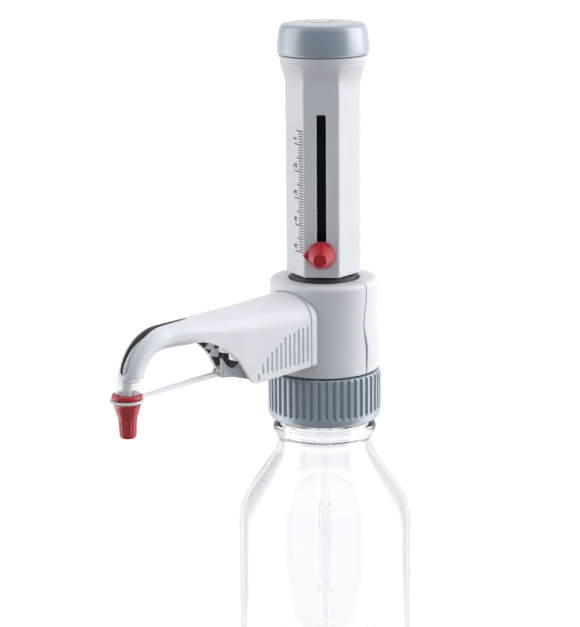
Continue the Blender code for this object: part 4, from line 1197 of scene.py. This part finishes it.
def build_pointer():
    """Teardrop pointer with its tip on the scale, its clamp behind the slot and the knob."""
    tip = 8.9
    back, front = -(GRIP_HALF + GAP), -(GRIP_HALF + 2.6)
    open_angle = math.acos(POINTER_R / tip)
    rim = []
    for i in range(97):
        a = math.pi - open_angle - i * (2.0 * math.pi - 2.0 * open_angle) / 96.0
        rim.append((POINTER_R * math.cos(a), POINTER_R * math.sin(a)))
    for t in (0.2, 0.4, 0.6, 0.8, 0.93, 1.0, -0.93, -0.8, -0.6, -0.4, -0.2):
        start = rim[96] if t > 0.0 else rim[0]
        share = abs(t)
        rim.append((start[0] + (-tip - start[0]) * share, start[1] * (1.0 - share)))
    levels = [(back, 0.975), (back - 0.1, 0.992), (back - 0.3, 1.0), (back - 1.2, 1.0)]
    levels += [(front + 0.75, 0.99), (front + 0.4, 0.965), (front + 0.15, 0.93), (front, 0.88)]
    sections = [[(x * k, y, POINTER_Z + h * k) for x, h in rim] for y, k in levels]
    plate = lofted("volume_setting_pointer", sections, CLEAR_RED, None, FACE)
    tilt = FACE @ placed(0, 0, POINTER_Z, 90, "X")
    combine(plate, [drill(2.1, 16, 24, CLEAR_RED, 48, tilt)])
    mount(plate, "pointer", "clear_red_plastic", "volume_pointer")
    z = POINTER_Z
    nut = bar("pointer_clamp_nut", (-5.2, -15.55, z - 4.0), (6.4, -14.0, z + 4.0), 0.3, BLACK)
    nose = bar("nose", (4.1, -14.3, z - 1.5), (6.4, -10.95, z + 1.5), 0.3, BLACK)
    combine(nut, [nose], "UNION")
    nut.data.transform(FACE)
    combine(nut, [drill(2.1, 12, 18, BLACK, 48, tilt)])
    mount(nut, "pointer", "dark_plastic", "pointer_slider")
    base = GRIP_HALF + 2.9
    cone = [(0, 14.2, 0), (1.8, 14.2, 0.2), (1.8, base, 0.2), (6.1, base, 0.3), (6.3, base + 0.7, 0.5)]
    cone += [(5.2, base + 4.0, 2.0), (4.0, base + 7.6, 2.5), (3.2, base + 10.3, 0.6), (0, base + 10.6, 0)]
    own = ("thumb_screw", "clear_red_plastic", "thumb_screw")
    piece("pointer_thumb_screw", cone, KNOB_RED, 96, *own, tilt, corner=6)


# --- CAD node that keeps its shape ---


def refinish(finish, node):
    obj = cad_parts[node]
    obj.data.materials.clear()
    obj.data.materials.append(finish)


# --- floor, light and camera ---


def math_node(tree, operation, first, second):
    node = tree.nodes.new("ShaderNodeMath")
    node.operation = operation
    for socket, value in zip(node.inputs, (first, second)):
        if isinstance(value, (int, float)):
            socket.default_value = value
        else:
            tree.links.new(value, socket)
    return node.outputs[0]


def weighted(tree, first, first_share, second, second_share):
    """first * first_share + second * second_share."""
    one = math_node(tree, "MULTIPLY", first, first_share)
    return math_node(tree, "ADD", one, math_node(tree, "MULTIPLY", second, second_share))


def panels(tree, x, y, stops, brightest):
    """Colour of the tent in the direction x, y: a ramp from behind the object to its front."""
    turn = math.radians(FRONT)
    toward = weighted(tree, x, math.cos(turn), y, math.sin(turn))
    squares = weighted(tree, x, x, y, y)
    flat = math_node(tree, "SQRT", math_node(tree, "MAXIMUM", squares, 0.0001), 0.0)
    cosine = math_node(tree, "DIVIDE", toward, flat)
    half = math_node(tree, "ADD", math_node(tree, "MULTIPLY", cosine, 0.5), 0.5)
    levels = tree.nodes.new("ShaderNodeValToRGB")
    ramp = levels.color_ramp
    ramp.interpolation = "EASE"
    for k, (at, colour) in enumerate(stops):
        stop = ramp.elements[k] if k < 2 else ramp.elements.new(at)
        stop.position = at
        stop.color = (*[c / brightest for c in colour], 1.0)
    tree.links.new(half, levels.inputs[0])
    return levels.outputs[0]


def tent_stops(back, side, front):
    """Stops from behind the object, over the side panels, to its front."""
    return ((0.0, back), (0.2, back), (0.36, side), (0.62, side), (0.76, front), (1.0, front))


def build_floor():
    """A large pale floor that also glows, as a lit sweep does; its reflections show the tent."""
    half, sunk = 15.0, 0.0004
    mesh = bpy.data.meshes.new("floor")
    corners = [(-half, -half), (half, -half), (half, half), (-half, half)]
    mesh.from_pydata([(x, y, -sunk) for x, y in corners], [], [(0, 1, 2, 3)])
    floor = linked("floor", mesh)
    made, tree, shader = new_material("pale_floor")
    seen, mirrored, soaked = 0.97, 3.3, 0.22
    path = new_node(tree, "LightPath").outputs
    place = new_node(tree, "TexCoord").outputs["Object"]
    x, y, _ = new_node(tree, "SeparateXYZ", {"Vector": place}).outputs
    stops = tent_stops((1.0,) * 3, (mirrored,) * 3, (0.2, 0.22, 0.25))
    tent = panels(tree, x, y, stops, mirrored)
    white = (1.0 / mirrored * seen,) * 3
    dim = (1.0 / mirrored * soaked,) * 3
    plain = mixed(tree, path["Is Diffuse Ray"], white, dim)
    glow = mixed(tree, path["Is Glossy Ray"], plain, tent)
    fill(tree, shader, {"Emission Color": glow, "Emission Strength": mirrored})
    fill(tree, shader, {"Base Color": (0.12, 0.12, 0.12, 1.0), "Roughness": 1.0})
    fill(tree, shader, {"Specular IOR Level": 0.0})
    mesh.materials.append(made)


def build_light():
    """A soft tent: dim in front, bright side panels, even above and behind, stronger right."""
    world = bpy.data.worlds.new("soft_tent")
    world.use_nodes = True
    tree = world.node_tree
    place = new_node(tree, "TexCoord").outputs["Generated"]
    x, y, z = new_node(tree, "SeparateXYZ", {"Vector": place}).outputs
    brightest = max(SIDE_LIGHT)
    levels = panels(tree, x, y, tent_stops(BACK_LIGHT, SIDE_LIGHT, FRONT_LIGHT), brightest)
    share = new_node(tree, "MapRange", {"Value": z, "From Min": 0.5, "From Max": 0.9})
    share.interpolation_type = "SMOOTHSTEP"
    top = [c / brightest for c in TOP_LIGHT]
    colour = mixed(tree, share.outputs["Result"], levels, top)
    turn = math.radians(FRONT)
    right = weighted(tree, x, -math.sin(turn), y, math.cos(turn))
    gain = math_node(tree, "MULTIPLY", right, RIGHT_SHARE * brightest)
    strength = math_node(tree, "ADD", gain, brightest)
    fill(tree, tree.nodes["Background"], {"Color": colour, "Strength": strength})
    bpy.context.scene.world = world


def build_camera():
    data = bpy.data.cameras.new("camera")
    data.sensor_width = 36.0
    data.lens = 111.8
    data.clip_end = 100.0
    camera = linked("camera", data)
    camera.location = (-0.6757, -0.6294, 0.4333)
    ahead = Vector((0.6985, 0.6746, -0.2387)).normalized()
    roll = Quaternion((0.0, 0.0, 1.0), math.radians(-0.47))
    camera.rotation_mode = "QUATERNION"
    camera.rotation_quaternion = ahead.to_track_quat("-Z", "Y") @ roll
    bpy.context.scene.camera = camera


build_camera()
build_floor()
build_light()
bpy.context.scene.view_settings.view_transform = "Standard"
build_bottle()
build_gasket()
build_ring()
build_block()
build_collar()
build_core()
build_filling_side()
build_arm()
build_hood_steps()
build_discharge()
build_clip()
build_strap()
build_nozzle_cap()
build_grip()
grip_plate("lower_guide_plate", "lower_guide", SLEEVE_R + GAP, GRIP_Z0 + 0.5, GRIP_Z0 + 5.5)
grip_plate("rod_carrier_plate", "rod_carrier", 5.3, 318.0, 322.0)
build_rack()
build_top()
build_piston()
build_scale()
build_pointer()
refinish(METAL, "discharge_valve_spring")
